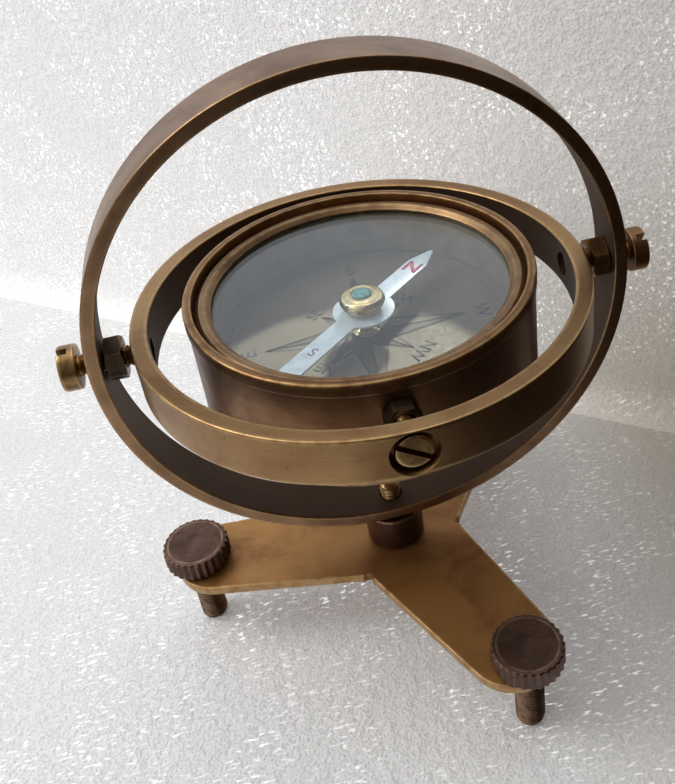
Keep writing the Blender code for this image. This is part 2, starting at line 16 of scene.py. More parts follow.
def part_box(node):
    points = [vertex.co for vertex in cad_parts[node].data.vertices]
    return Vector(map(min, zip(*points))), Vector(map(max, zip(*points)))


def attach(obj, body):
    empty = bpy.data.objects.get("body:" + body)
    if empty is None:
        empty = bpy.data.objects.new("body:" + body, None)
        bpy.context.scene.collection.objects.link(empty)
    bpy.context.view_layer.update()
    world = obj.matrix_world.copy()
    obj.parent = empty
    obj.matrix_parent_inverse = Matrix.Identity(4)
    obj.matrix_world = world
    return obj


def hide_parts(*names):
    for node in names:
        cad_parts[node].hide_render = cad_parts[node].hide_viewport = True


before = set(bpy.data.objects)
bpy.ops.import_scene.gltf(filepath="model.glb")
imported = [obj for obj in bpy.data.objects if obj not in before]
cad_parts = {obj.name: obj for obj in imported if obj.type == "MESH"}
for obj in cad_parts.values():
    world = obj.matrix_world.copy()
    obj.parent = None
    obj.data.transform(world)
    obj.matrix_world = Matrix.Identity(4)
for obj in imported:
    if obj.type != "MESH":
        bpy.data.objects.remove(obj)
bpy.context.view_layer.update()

MM = 0.001


def middle(node):
    low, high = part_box(node)
    return (low + high) / 2


def extent(node):
    low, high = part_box(node)
    return high - low


# Where things are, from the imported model.
PIVOT = middle("gimbal_ring")
RING_CENTRE = middle("outer_ring")
PLATE_LOW, PLATE_HIGH = (corner.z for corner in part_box("tripod_base_plate"))
BOSS_LOW, BOSS_HIGH = (corner.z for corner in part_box("column_boss"))
BOLT_LOW, BOLT_HIGH = (corner.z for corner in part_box("column_bolt"))
AXIS = Vector((PIVOT.x, PIVOT.y, 0))
SIDES = ("left", "front", "rear")


def span(node):
    """How far the bottom and top of a piece are above the pivots."""
    low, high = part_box(node)
    return low.z - PIVOT.z, high.z - PIVOT.z


def reach_from_pivot(node, axis):
    """How far the near and far ends of a piece are from the pivots, along axis 0 or 1."""
    ends = [abs(corner[axis] - PIVOT[axis]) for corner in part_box(node)]
    return min(ends), max(ends)


# The rings and the base.
RING_THICKNESS, GIMBAL_THICKNESS = 2.8 * MM, 3.5 * MM
RING_RADIUS = extent("outer_ring").x / 2
RING_INNER_RADIUS = RING_RADIUS - RING_THICKNESS
GIMBAL_RADIUS = extent("gimbal_ring").x / 2
GIMBAL_INNER_RADIUS = GIMBAL_RADIUS - GIMBAL_THICKNESS
RING_HOLE_RADIUS = 2.6 * MM
GIMBAL_HOLE_RADIUS = 2.5 * MM
BOWL_BEARING_RADIUS = 2.3 * MM
COUNTERBORE_RADIUS = 4.45 * MM
COUNTERBORE_FLOOR = 43.8 * MM
COUNTERBORE_CHAMFER = 0.55 * MM
ARM_HALF_WIDTH = 12.6 * MM
ARM_END_RADIUS = 10.2 * MM
ARM_END_DISTANCE = 42.5 * MM
NOTCH_RADIUS = 1.15 * MM
NOTCH_OFFSET = 0.9 * MM
CORNER_FLAT = 3.4 * MM
PLATE_FILLET = 0.28 * MM
BOSS_RADIUS = extent("column_boss").x / 2
BOLT_RADIUS = 2.35 * MM
BOLT_HEAD_RADIUS = 4.3 * MM
BOLT_HEAD_THICKNESS = 3.2 * MM
BOLT_HOLE_RADIUS = 2.65 * MM
BOLT_PITCH = 1.0 * MM
BOLT_SLOT_WIDTH, BOLT_SLOT_DEPTH = 1.1 * MM, 1.2 * MM
KNOB_RADIUS = extent("levelling_knob_left").x / 2
KNURL_TEETH = 28
KNURL_DEPTH = 0.45 * MM
STUD_RADIUS = 3.2 * MM
STUD_HOLE_RADIUS = 3.5 * MM
STUD_PITCH = 0.907 * MM
RIVET_RADIUS = 2.1 * MM

# The pivot screws: the outer ones hold the gimbal ring, and the bowl's hold the bowl.
OUTER_HEAD_THICKNESS = 3.4 * MM
OUTER_SHANK_RADIUS = 2.2 * MM
OUTER_PITCH = 0.8 * MM
OUTER_NUT_FLATS = 8.0 * MM
OUTER_SLOT_WIDTH, OUTER_SLOT_DEPTH = 1.5 * MM, 2.1 * MM
BOWL_HEAD_THICKNESS = 1.6 * MM
BOWL_SHANK_RADIUS = 1.95 * MM
BOWL_PITCH = 0.7 * MM
BOWL_NUT_FLATS = 6.2 * MM
BOWL_SLOT_WIDTH, BOWL_SLOT_DEPTH = 1.1 * MM, 0.9 * MM

# The bowl and what is in it. Heights are from the pivots, and directions in degrees from +X.
BOWL_LIP_RADIUS = extent("bowl_case").x / 2
BOWL_RADIUS = BOWL_LIP_RADIUS - 0.3 * MM
BOWL_INNER_RADIUS = BOWL_RADIUS - 1.5 * MM
BOWL_HOLE_RADIUS = 2.25 * MM
BOWL_FLOOR_THICKNESS = 2.0 * MM
WELL_RADIUS = 29.0 * MM
WELL_TOP = -9.6 * MM
BEZEL_INNER_RADIUS = 30.0 * MM
LINER_INNER_RADIUS = 31.6 * MM
CARD_HOLE_RADIUS = 0.65 * MM
CARD_NORTH = -92.0
ROSE_TIP, ROSE_WAIST = 21.2 * MM, 5.4 * MM
SHORT_TIP, SHORT_WAIST = 11.8 * MM, 4.2 * MM
ROSE_LINE, SCALE_LINE = 0.50 * MM, 0.12 * MM
SCALE_RADIUS = 29.1 * MM
INNER_CIRCLE_RADIUS = 27.4 * MM
LAYER = 0.01 * MM
NEEDLE_LENGTH = 25.4 * MM
NEEDLE_DIRECTION = 42.0
NEEDLE_HALF_WIDTH = 2.35 * MM
NEEDLE_POINT_LENGTH = 5.8 * MM
HUB_RADIUS = 6.4 * MM
HUB_HOLE_RADIUS = 1.3 * MM


# ---- shapes


def rounded(corners, closed=True, steps=4, hold=1.5):
    """Corners of (x, y, fillet radius) as a smooth outline of (x, y, wear). Wear is 1 on a fillet,
    and falls to 0 over hold radii of it along the flats beside it."""
    outline = []
    count = len(corners)
    for i, (x, y, radius) in enumerate(corners):
        if radius == 0 or (not closed and i in (0, count - 1)):
            outline.append((x, y, 0.0))
            continue
        here = Vector((x, y))
        before = Vector(corners[i - 1][:2]) - here
        after = Vector(corners[(i + 1) % count][:2]) - here
        half = before.angle(after) / 2
        reach = radius / math.tan(half)
        bisector = (before.normalized() + after.normalized()).normalized()
        centre = here + bisector * radius / math.sin(half)
        start = before.normalized() * reach + here - centre
        turn = math.pi - 2 * half
        if before.x * after.y - before.y * after.x > 0:
            turn = -turn
        lead_in = min(reach + hold * radius, before.length / 2)
        lead_out = min(reach + hold * radius, after.length / 2)
        if lead_in > 1.1 * reach:
            outline.append((*(here + before.normalized() * lead_in), 0.0))
        for k in range(steps + 1):
            a = turn * k / steps
            c, s = math.cos(a), math.sin(a)
            outline.append((
                centre.x + start.x * c - start.y * s, centre.y + start.x * s + start.y * c, 1.0
            ))
        if lead_out > 1.1 * reach:
            outline.append((*(here + after.normalized() * lead_out), 0.0))
    return outline


def shade(mesh, smooth_angle=40.0):
    mesh.shade_smooth()
    mesh.set_sharp_from_angle(angle=math.radians(smooth_angle))


def add_object(name, data):
    obj = bpy.data.objects.new(name, data)
    bpy.context.scene.collection.objects.link(obj)
    return obj


def finish_mesh(name, bm, smooth_angle=40.0):
    bmesh.ops.recalc_face_normals(bm, faces=bm.faces)
    mesh = bpy.data.meshes.new(name)
    bm.to_mesh(mesh)
    bm.free()
    shade(mesh, smooth_angle)
    return add_object(name, mesh)


def revolve(name, outline, segments=96, closed=False, radius_at=None, smooth_angle=40.0):
    """Turns an outline of (radius, height, wear) about Z. radius_at(angle, radius, height, wear)
    may change a point, as for a thread, a knurl or a hexagon."""
    bm = bmesh.new()
    layer = bm.verts.layers.float.new("wear")
    rows = []
    for radius, height, wear in outline:
        row = []
        if radius < 1e-7:
            row = [bm.verts.new((0, 0, height))] * segments
            row[0][layer] = wear
        else:
            for i in range(segments):
                angle = 2 * math.pi * i / segments
                r, z, rubbed = radius, height, wear
                if radius_at:
                    r, z, rubbed = radius_at(angle, radius, height, wear)
                vertex = bm.verts.new((r * math.cos(angle), r * math.sin(angle), z))
                vertex[layer] = rubbed
                row.append(vertex)
        rows.append(row)
    pairs = list(zip(rows, rows[1:]))
    if closed:
        pairs.append((rows[-1], rows[0]))
    for here, there in pairs:
        for i in range(segments):
            j = (i + 1) % segments
            corners = list(dict.fromkeys((here[i], here[j], there[j], there[i])))
            if len(corners) > 2:
                bm.faces.new(corners)
    return finish_mesh(name, bm, smooth_angle)


def place(obj, centre, turn=(0, 0, 0)):
    """turn is in degrees, about X, Y and Z in that order."""
    obj.location = centre
    obj.rotation_euler = [math.radians(angle) for angle in turn]
    return obj


def cylinder_cutter(radius, low, high, centre, turn=(0, 0, 0), segments=64, top_radius=None):
    """The walls that it cuts get a wear of 0.7."""
    tip = radius if top_radius is None else top_radius
    outline = [(0, high, 0.7), (tip, high, 0.7), (radius, low, 0.7), (0, low, 0.7)]
    return place(revolve("cutter", outline, segments), centre, turn)


def box_cutter(size, centre, spin=0.0):
    """The walls that it cuts get a wear of 0.3."""
    bm = bmesh.new()
    bmesh.ops.create_cube(bm, size=1.0)
    bmesh.ops.scale(bm, verts=bm.verts, vec=size)
    layer = bm.verts.layers.float.new("wear")
    for vertex in bm.verts:
        vertex[layer] = 0.3
    spun = Matrix.Rotation(math.radians(spin), 3, "Z")
    bmesh.ops.rotate(bm, verts=bm.verts, cent=(0, 0, 0), matrix=spun)
    return place(finish_mesh("cutter", bm), centre)


def carve(obj, *cutters):
    """Cuts the cutters from obj for good, and removes them."""
    for cutter in cutters:
        modifier = obj.modifiers.new("cut", "BOOLEAN")
        modifier.operation = "DIFFERENCE"
        modifier.solver = "EXACT"
        modifier.object = cutter
    bpy.context.view_layer.update()
    graph = bpy.context.evaluated_depsgraph_get()
    mesh = bpy.data.meshes.new_from_object(obj.evaluated_get(graph))
    obj.modifiers.clear()
    obj.data = mesh
    for cutter in cutters:
        bpy.data.objects.remove(cutter, do_unlink=True)
    shade(mesh)
    return obj


def keep(obj, body, node, material):
    """The piece replaces its CAD node, moves with the body and takes the given material."""
    obj.data.materials.clear()
    obj.data.materials.append(material)
    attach(obj, body)
    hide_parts(node)
    return obj


def turned_piece(node, corners, body, material, segments=160, closed=True, centre=PIVOT):
    """The piece that replaces a node, turned from corners of (radius, height, fillet radius)."""
    obj = revolve(f"{node}_detail", rounded(corners, closed), segments, closed)
    return keep(place(obj, centre), body, node, material)


def thread(pitch, depth, low, high, fade=0.6):
    """A shape for revolve: a V thread between two heights, which runs out over fade pitches at each
    end. Its crests are worn and its roots are not; the crests' lighter colour is partly a painted
    highlight."""
    def radius_at(angle, radius, height, wear):
        inside = min(height - low, high - height) / (fade * pitch)
        share = max(0.0, min(1.0, inside))
        phase = (height / pitch - angle / (2 * math.pi)) % 1.0
        valley = 1 - abs(2 * phase - 1)
        # Partly painted highlight: full wear on the crests makes them lighter.
        return radius - share * depth * valley, height, 1.0 - valley
    return radius_at


def on_shank(shape, shank_radius, start=-math.inf, end=math.inf):
    """A shape for revolve: another shape, on the shank alone and between two heights."""
    def radius_at(angle, radius, height, wear):
        if abs(radius - shank_radius) < 1e-6 and start < height < end:
            return shape(angle, radius, height, wear)
        return radius, height, wear
    return radius_at


def shank(radius, low, high, pitch, per_turn=8):
    """Outline points down a threaded shank, close enough together to carry its thread."""
    count = max(2, round((high - low) / pitch * per_turn))
    return [(radius, high + (low - high) * i / count, 0.5) for i in range(1, count)]


def hexagon(flats, thickness, corner_angle):
    """A shape for revolve: a round outline becomes a hexagon whose outer corners are chamfered."""
    inscribed = flats / 2

    def radius_at(angle, radius, height, wear):
        if radius < inscribed:
            return radius, height, wear
        to_flat = (angle - math.radians(corner_angle)) % math.radians(60) - math.radians(30)
        r = inscribed / math.cos(to_flat)
        drop = (r - inscribed) * math.tan(math.radians(30))
        return r, height - drop if height > thickness / 2 else height + drop, wear
    return radius_at


def nut(name, flats, thickness, bore, corner_angle):
    half = flats / 2
    outline = [
        (bore, 0.15 * MM, 0.3), (bore + 0.3 * MM, 0, 0.3), (0.97 * half, 0, 0.0), (half, 0.0, 1.0),
        (half, 0.12 * thickness, 0.2), (half, 0.5 * thickness, 0.0),
        (half, 0.88 * thickness, 0.2), (half, thickness, 1.0), (0.97 * half, thickness, 0.0),
        (bore + 0.3 * MM, thickness, 0.3), (bore, thickness - 0.15 * MM, 0.3),
    ]
    return revolve(name, outline, 144, True, hexagon(flats, thickness, corner_angle), 25)


def slotted_screw(name, head_radius, head_low, head_high, shank_radius, tip, pitch, slot):
    """A cheese-headed screw on Z with a threaded shank, and a slot of (width, depth, angle)."""
    head = rounded([
        (0, head_high, 0), (head_radius, head_high, 0.35 * MM), (head_radius, head_low, 0.2 * MM),
        (shank_radius, head_low, 0),
    ], closed=False)
    end = rounded([
        (shank_radius, tip + 2 * MM, 0), (shank_radius, tip, 0.4 * MM), (0, tip, 0),
    ], closed=False)
    outline = head + shank(shank_radius, tip + 1.0 * MM, head_low, pitch) + end[1:]
    shape = thread(pitch, 0.55 * pitch, tip + 0.5 * MM, head_low - 0.2 * MM)
    shape = on_shank(shape, shank_radius, end=head_low - 1e-6)
    screw = revolve(name, outline, 64, False, shape)
    width, depth, angle = slot
    cut = box_cutter((4 * head_radius, width, 2 * depth), (0, 0, head_high), spin=angle)
    return carve(screw, cut)


# ---- materials


class Nodes:
    """Short calls for a node tree. Each makes a node and gives the socket of its result."""

    def __init__(self, tree):
        self.tree = tree

    def make(self, kind, **settings):
        node = self.tree.nodes.new(kind)
        for name, value in settings.items():
            setattr(node, name, value)
        return node

    def link(self, value, socket):
        if isinstance(value, bpy.types.NodeSocket):
            self.tree.links.new(value, socket)
        elif value is not None:
            socket.default_value = value

    def fill(self, node, **values):
        """Links or sets a node's inputs by name, with _ for a space."""
        for name, value in values.items():
            self.link(value, node.inputs[name.replace("_", " ")])

    def maths(self, operation, a, b=None, clamp=False):
        node = self.make("ShaderNodeMath", operation=operation, use_clamp=clamp)
        self.link(a, node.inputs[0])
        self.link(b, node.inputs[1])
        return node.outputs[0]

    def place(self, round_axis=False):
        """Object coordinates, or for a turned piece (radius, angle as a small length, height)."""
        point = self.make("ShaderNodeTexCoord").outputs["Object"]
        if not round_axis:
            return point
        parts = self.make("ShaderNodeSeparateXYZ")
        self.link(point, parts.inputs[0])
        x, y, z = parts.outputs
        squares = [self.maths("MULTIPLY", side, side) for side in (x, y)]
        radius = self.maths("SQRT", self.maths("ADD", *squares))
        around = self.maths("MULTIPLY", self.maths("ARCTAN2", y, x), 0.0007)
        joined = self.make("ShaderNodeCombineXYZ")
        for value, socket in zip((radius, around, z), joined.inputs):
            self.link(value, socket)
        return joined.outputs[0]

    def noise(self, point, scale, detail=3.0, roughness=0.55, distortion=0.0):
        node = self.make("ShaderNodeTexNoise")
        self.fill(node, Vector=point, Scale=scale, Detail=detail, Roughness=roughness,
                  Distortion=distortion)
        return node.outputs[0]

    def stretched(self, point, scale):
        node = self.make("ShaderNodeMapping")
        self.fill(node, Vector=point, Scale=scale)
        return node.outputs[0]

    def ramp(self, value, low, high, to_low=0.0, to_high=1.0):
        node = self.make("ShaderNodeMapRange", interpolation_type="SMOOTHSTEP")
        self.link(value, node.inputs[0])
        for socket, number in zip(node.inputs[1:5], (low, high, to_low, to_high)):
            socket.default_value = number
        return node.outputs[0]

    def mix(self, share, a, b):
        node = self.make("ShaderNodeMix", data_type="RGBA")
        self.link(share, node.inputs[0])
        for value, socket in ((a, node.inputs[6]), (b, node.inputs[7])):
            self.link((*value, 1.0) if isinstance(value, tuple) else value, socket)
        return node.outputs[2]

    def bump(self, height, strength, distance, normal=None):
        node = self.make("ShaderNodeBump")
        self.fill(node, Strength=strength, Distance=distance, Height=height, Normal=normal)
        return node.outputs[0]


def new_material(name):
    material = bpy.data.materials.new(name)
    material.use_nodes = True
    tree = material.node_tree
    return material, Nodes(tree), tree.nodes["Principled BSDF"]


def brass(name, deep, body, worn, rough, turned=True, wear=1.0, patch=90.0, balance=0.5, coat=0.1,
          brushing=0.35, metal=1.0, inner_wall_shade=None):
    """Aged brass: a patina between two colours in soft patches, brushing round the axis or along
    the piece, spots of darker tarnish, edges rubbed back to bare metal, and a painted shade where
    wear is negative: a dark colour, rougher and with less coat."""
    material, n, shader = new_material(name)
    point = n.place()
    lathe = n.place(round_axis=True) if turned else point
    streak_scale = (9000, 900, 9000) if turned else (500, 6000, 6000)
    streaks = n.noise(n.stretched(lathe, streak_scale), 1.0, 4.0, 0.6)
    patches = n.noise(point, patch, 4.0, 0.6, 0.6)
    spots = n.noise(point, 1400, 2.0, 0.5)
    fine = n.noise(point, 5200, 2.0, 0.6)
    share = n.ramp(patches, balance - 0.22, balance + 0.22)
    brushed = n.maths("MULTIPLY", n.ramp(streaks, 0.3, 0.7, -0.5, 0.5), brushing)
    colour = n.mix(n.maths("ADD", share, brushed, True), deep, body)
    tarnish = n.ramp(spots, 0.62, 0.78, 0.0, 0.55)
    colour = n.mix(tarnish, colour, tuple(0.45 * c for c in deep))
    edge = n.make("ShaderNodeAttribute", attribute_name="wear").outputs["Fac"]
    broken = n.ramp(n.noise(point, 420, 3.0, 0.6), 0.34, 0.6, 0.25, 1.0)
    rubbed = n.maths("MULTIPLY", n.maths("MULTIPLY", edge, broken), wear, True)
    colour = n.mix(rubbed, colour, worn)
    gloss = n.maths("ADD", n.maths("MULTIPLY", patches, 0.6), n.maths("MULTIPLY", streaks, 0.4))
    roughness = n.ramp(gloss, 0.3, 0.7, rough[1], rough[0])
    roughness = n.maths("SUBTRACT", roughness, n.maths("MULTIPLY", rubbed, 0.10), True)
    # Painted shade: where wear is negative, as on the rings' inner walls, the colour turns dark.
    if inner_wall_shade:
        inner_shade = n.ramp(edge, -1.0, -0.2, 1.0, 0.0)
        colour = n.mix(inner_shade, colour, inner_wall_shade)
        roughness = n.maths("ADD", roughness, n.maths("MULTIPLY", inner_shade, 0.3), True)
        coat = n.maths("MULTIPLY", n.maths("SUBTRACT", 1.0, inner_shade), coat)
    marks = n.bump(fine, 0.16, 0.00003, n.bump(streaks, 0.10, 0.00002))
    n.fill(shader, Base_Color=colour, Metallic=metal, Roughness=roughness, Normal=marks,
           Coat_Weight=coat, Coat_Roughness=0.30, Coat_IOR=1.45)
    return material


def paint(name, colour, stain, rough, scale, metallic=0.0):
    """A painted or plain surface: a colour with faint stains, and marks that take its gloss."""
    material, n, shader = new_material(name)
    point = n.place()
    stains = n.ramp(n.noise(point, scale, 4.0, 0.6), 0.4, 0.75)
    gloss = n.ramp(n.noise(point, 6 * scale, 2.0), 0.3, 0.7, rough - 0.08, rough + 0.10)
    marks = n.bump(n.noise(point, 12 * scale, 2.0), 0.12, 0.00002)
    n.fill(shader, Base_Color=n.mix(stains, colour, stain), Metallic=metallic, Roughness=gloss,
           Normal=marks)
    return material


def paper(name, colour, shade, stain):
    """Old printed card: fibres, a slow change of tone and small brown spots."""
    material, n, shader = new_material(name)
    point = n.place()
    tone = n.ramp(n.noise(point, 60, 3.0), 0.35, 0.65)
    fibres = n.noise(n.stretched(point, (3000, 900, 3000)), 1.0, 3.0, 0.7)
    foxing = n.ramp(n.noise(point, 330, 3.0), 0.66, 0.80)
    base = n.mix(tone, colour, shade)
    base = n.mix(n.ramp(fibres, 0.4, 0.75, 0.0, 0.25), base, shade)
    n.fill(shader, Base_Color=n.mix(foxing, base, stain), Normal=n.bump(fibres, 0.2, 0.00003),
           Roughness=n.ramp(fibres, 0.3, 0.7, 0.62, 0.82))
    return material


def blend_surface(n, share, first, second):
    """The material's surface is the first shader where share is 0, and the second where it is 1."""
    blend = n.make("ShaderNodeMixShader")
    for value, socket in zip((share, first, second), blend.inputs):
        n.link(value, socket)
    n.link(blend.outputs[0], n.tree.nodes["Material Output"].inputs[0])


def clear_glass(name):
    """Window glass with a slight film on it. Lamps shine through it; a camera sees it as glass."""
    material, n, shader = new_material(name)
    film = n.ramp(n.noise(n.place(), 130, 3.0, 0.6), 0.4, 0.75, 0.015, 0.05)
    n.fill(shader, Base_Color=(0.97, 0.985, 0.98, 1.0), Roughness=film, Transmission_Weight=1.0,
           IOR=1.52)
    open_way = n.make("ShaderNodeBsdfTransparent")
    n.fill(open_way, Color=(0.93, 0.95, 0.94, 1.0))
    shadow = n.make("ShaderNodeLightPath").outputs["Is Shadow Ray"]
    blend_surface(n, shadow, shader.outputs[0], open_way.outputs[0])
    return material


def jewel(name):
    material, n, shader = new_material(name)
    cloud = n.ramp(n.noise(n.place(), 900, 3.0, 0.6), 0.35, 0.7)
    n.fill(shader, Base_Color=n.mix(cloud, (0.02, 0.20, 0.17), (0.10, 0.42, 0.36)), IOR=1.6,
           Roughness=n.ramp(cloud, 0, 1, 0.12, 0.22), Coat_Weight=0.6, Coat_Roughness=0.05)
    return material


BARE = (0.50, 0.32, 0.14)
# The rings' brass ends with a dark colour that paints shade on their inner walls.
ring_brass = brass(
    "ring_brass", (0.17, 0.090, 0.048), (0.35, 0.215, 0.115), (0.46, 0.28, 0.14), (0.32, 0.46),
    patch=45.0, wear=0.5, coat=0.12, inner_wall_shade=(0.105, 0.068, 0.046),
)
gimbal_brass = brass(
    "gimbal_brass", (0.21, 0.110, 0.045), (0.37, 0.222, 0.098), BARE, (0.32, 0.46),
    patch=38.0, balance=0.45, wear=0.7, inner_wall_shade=(0.080, 0.048, 0.030),
)
plate_brass = brass(
    "plate_brass", (0.20, 0.078, 0.020), (0.38, 0.19, 0.055), BARE, (0.36, 0.5),
    turned=False, patch=75.0, balance=0.42, wear=0.9, brushing=0.15, metal=0.6,
)
bowl_brass = brass(
    "bowl_brass", (0.13, 0.056, 0.022), (0.27, 0.142, 0.060), BARE, (0.36, 0.5),
    patch=60.0, wear=0.6,
)
bezel_brass = brass(
    "bezel_brass", (0.13, 0.070, 0.034), (0.27, 0.165, 0.082), (0.40, 0.26, 0.13), (0.38, 0.52),
    patch=80.0, wear=0.5,
)
dark_brass = brass(
    "dark_brass", (0.065, 0.036, 0.026), (0.140, 0.082, 0.060), (0.34, 0.22, 0.14), (0.36, 0.52),
    patch=160.0, wear=0.8,
)
screw_brass = brass(
    "screw_brass", (0.11, 0.065, 0.028), (0.31, 0.19, 0.075), BARE, (0.32, 0.46), patch=220.0,
)
nut_brass = brass(
    "nut_brass", (0.04, 0.030, 0.023), (0.15, 0.110, 0.07), (0.30, 0.21, 0.11), (0.32, 0.46),
    turned=False, patch=260.0,
)
bright_brass = brass(
    "bright_brass", (0.48, 0.35, 0.13), (0.76, 0.60, 0.28), (0.88, 0.74, 0.44), (0.10, 0.2),
    patch=500.0, brushing=0.1, coat=0.25,
)
steel = paint("steel", (0.55, 0.55, 0.54), (0.36, 0.34, 0.32), 0.3, 900.0, 1.0)
lead = paint("lead", (0.19, 0.19, 0.20), (0.11, 0.11, 0.12), 0.6, 300.0, 0.5)
# The card is coloured far darker than card: painted shade from the bowl's rim and walls, over the
# old card's own tone.
shaded_card_paper = paper("shaded_card_paper", (0.118, 0.103, 0.072), (0.094, 0.081, 0.055), (0.06, 0.045, 0.03))
card_ink = paint("card_ink", (0.010, 0.011, 0.014), (0.035, 0.032, 0.028), 0.7, 900.0)
card_tint = paint("card_tint", (0.034, 0.031, 0.025), (0.055, 0.048, 0.036), 0.7, 700.0)
# The liner matches the shaded card: its dark colour is painted shade inside the bowl too.
liner_paint = paint("liner_paint", (0.15, 0.13, 0.09), (0.10, 0.085, 0.06), 0.6, 180.0)
needle_paint = paint("needle_paint", (0.66, 0.76, 0.84), (0.50, 0.60, 0.68), 0.35, 420.0)
red_paint = paint("red_paint", (0.42, 0.020, 0.060), (0.55, 0.20, 0.24), 0.4, 1400.0)
blue_paint = paint("blue_paint", (0.10, 0.13, 0.22), (0.2, 0.24, 0.33), 0.4, 900.0)
glass = clear_glass("glass")
green_glass = jewel("green_glass")


# ---- the stand


def strip_outline(outer, inner, width, fillet):
    """The section of a strip bent to a ring. Its inner wall gets a negative wear, which the brass
    paints as a dark shade."""
    half = width / 2
    outline = rounded([
        (outer, half, fillet), (outer, -half, fillet),
        (inner, -half, fillet), (inner, half, fillet),
    ])
    return [(r, z, -1.0 if r < inner + 1e-7 else wear) for r, z, wear in outline]


def keep_inner_wall(obj, inner):
    """Gives the inner wall's negative wear, its painted shade, to the edges of holes cut in it."""
    wear = obj.data.attributes["wear"].data
    for vertex in obj.data.vertices:
        if abs(vertex.co.xy.length - inner) < 0.02 * MM:
            wear[vertex.index].value = -1.0


def polygon_solid(name, outline, low, high, edge, segments=3):
    """A flat plate from a closed outline of points, with both rims rounded. Its wear is on the
    rims."""
    bm = bmesh.new()
    layer = bm.verts.layers.float.new("wear")
    vertices = [bm.verts.new((x, y, low)) for x, y in outline]
    face = bm.faces.new(vertices)
    copied = bmesh.ops.extrude_face_region(bm, geom=[face])["geom"]
    top = [part for part in copied if isinstance(part, bmesh.types.BMVert)]
    bmesh.ops.translate(bm, verts=top, vec=(0, 0, high - low))
    rims = [e for e in bm.edges if abs(e.verts[0].co.z - e.verts[1].co.z) < 1e-7]
    bmesh.ops.bevel(bm, geom=rims, offset=edge, segments=segments, profile=0.5, affect="EDGES")
    for vertex in bm.verts:
        at_rim = min(vertex.co.z - low, high - vertex.co.z)
        vertex[layer] = 1.0 if at_rim < 1.01 * edge else 0.0
    return finish_mesh(name, bm)


def inset_faces(obj, distance):
    """Holds the wear of a plate's rims near them: a second, unworn outline a little way inside each
    face."""
    bm = bmesh.new()
    bm.from_mesh(obj.data)
    layer = bm.verts.layers.float["wear"]
    large = [f for f in bm.faces if abs(f.normal.z) > 0.99 and len(f.verts) > 8]
    bmesh.ops.inset_region(bm, faces=large, thickness=distance, use_boundary=True)
    for face in large:
        for vertex in face.verts:
            vertex[layer] = 0.0
    bm.to_mesh(obj.data)
    bm.free()
    shade(obj.data)


def plate_outline():
    """Three tapering arms with round ends, and a short flat across each inner corner. Gives the
    directions of the arms too, in radians."""
    root_out = ARM_HALF_WIDTH / math.tan(math.radians(60))
    root_out += CORNER_FLAT / 2 / math.cos(math.radians(30))
    spots = [middle(f"levelling_stud_{side}") - AXIS for side in SIDES]
    directions = sorted(math.atan2(spot.y, spot.x) for spot in spots)
    outline = []
    for angle in directions:
        along = Vector((math.cos(angle), math.sin(angle)))
        across = Vector((-along.y, along.x))
        outline.append(along * root_out - across * ARM_HALF_WIDTH)
        for k in range(33):
            a = math.radians(-87 + 174 * k / 32)
            out = ARM_END_DISTANCE + ARM_END_RADIUS * math.cos(a)
            outline.append(along * out + across * ARM_END_RADIUS * math.sin(a))
        outline.append(along * root_out + across * ARM_HALF_WIDTH)
    return outline, directions


def plate_cutter(radius, spot, segments=64):
    centre = (spot.x, spot.y, 0)
    return cylinder_cutter(radius, PLATE_LOW - MM, PLATE_HIGH + MM, centre, segments=segments)


outline, arm_angles = plate_outline()
plate = polygon_solid("tripod_base_plate_detail", outline, PLATE_LOW, PLATE_HIGH, PLATE_FILLET)
inset_faces(plate, 0.5 * MM)
place(plate, AXIS)
cuts = [plate_cutter(STUD_HOLE_RADIUS, middle(f"levelling_stud_{side}")) for side in SIDES]
notch_distance = ARM_HALF_WIDTH / math.sin(math.radians(60)) + NOTCH_OFFSET
for angle in arm_angles:
    away = Vector((math.cos(angle + math.pi / 3), math.sin(angle + math.pi / 3), 0))
    cuts.append(plate_cutter(NOTCH_RADIUS, AXIS + away * notch_distance, 32))
cuts.append(plate_cutter(BOLT_HOLE_RADIUS, AXIS))
carve(plate, *cuts)
keep(plate, "stand", "tripod_base_plate", plate_brass)

turned_piece("column_boss", [
    (BOSS_RADIUS, BOSS_HIGH, 0.3 * MM), (BOSS_RADIUS, BOSS_LOW, 0.3 * MM),
    (BOLT_HOLE_RADIUS, BOSS_LOW, 0), (BOLT_HOLE_RADIUS, BOSS_HIGH, 0.2 * MM),
], "stand", dark_brass, 96, centre=AXIS)

head_top = BOLT_LOW + BOLT_HEAD_THICKNESS
bolt_outline = [
    (0, BOLT_HIGH, 0.8), (0.5 * BOLT_RADIUS, BOLT_HIGH - 0.12 * MM, 0.9),
    (0.8 * BOLT_RADIUS, BOLT_HIGH - 0.38 * MM, 1.0),
    (0.94 * BOLT_RADIUS, BOLT_HIGH - 0.7 * MM, 1.0), (BOLT_RADIUS, BOLT_HIGH - 1.0 * MM, 1.0),
]
bolt_outline += shank(BOLT_RADIUS, head_top + 0.4 * MM, BOLT_HIGH - 1.0 * MM, BOLT_PITCH)
bolt_outline += rounded([
    (BOLT_RADIUS, head_top, 0), (BOLT_HEAD_RADIUS, head_top, 0.3 * MM),
    (BOLT_HEAD_RADIUS, BOLT_LOW, 0.5 * MM), (0, BOLT_LOW, 0),
], closed=False)
shape = thread(BOLT_PITCH, 0.45 * BOLT_PITCH, head_top + 0.4 * MM, BOLT_HIGH - 0.5 * MM)
shape = on_shank(shape, BOLT_RADIUS, start=head_top + 0.1 * MM)
bolt = revolve("column_bolt_detail", bolt_outline, 64, False, shape)
carve(bolt, box_cutter((20 * MM, BOLT_SLOT_WIDTH, 2 * BOLT_SLOT_DEPTH), (0, 0, BOLT_LOW)))
keep(place(bolt, AXIS), "stand", "column_bolt", screw_brass)

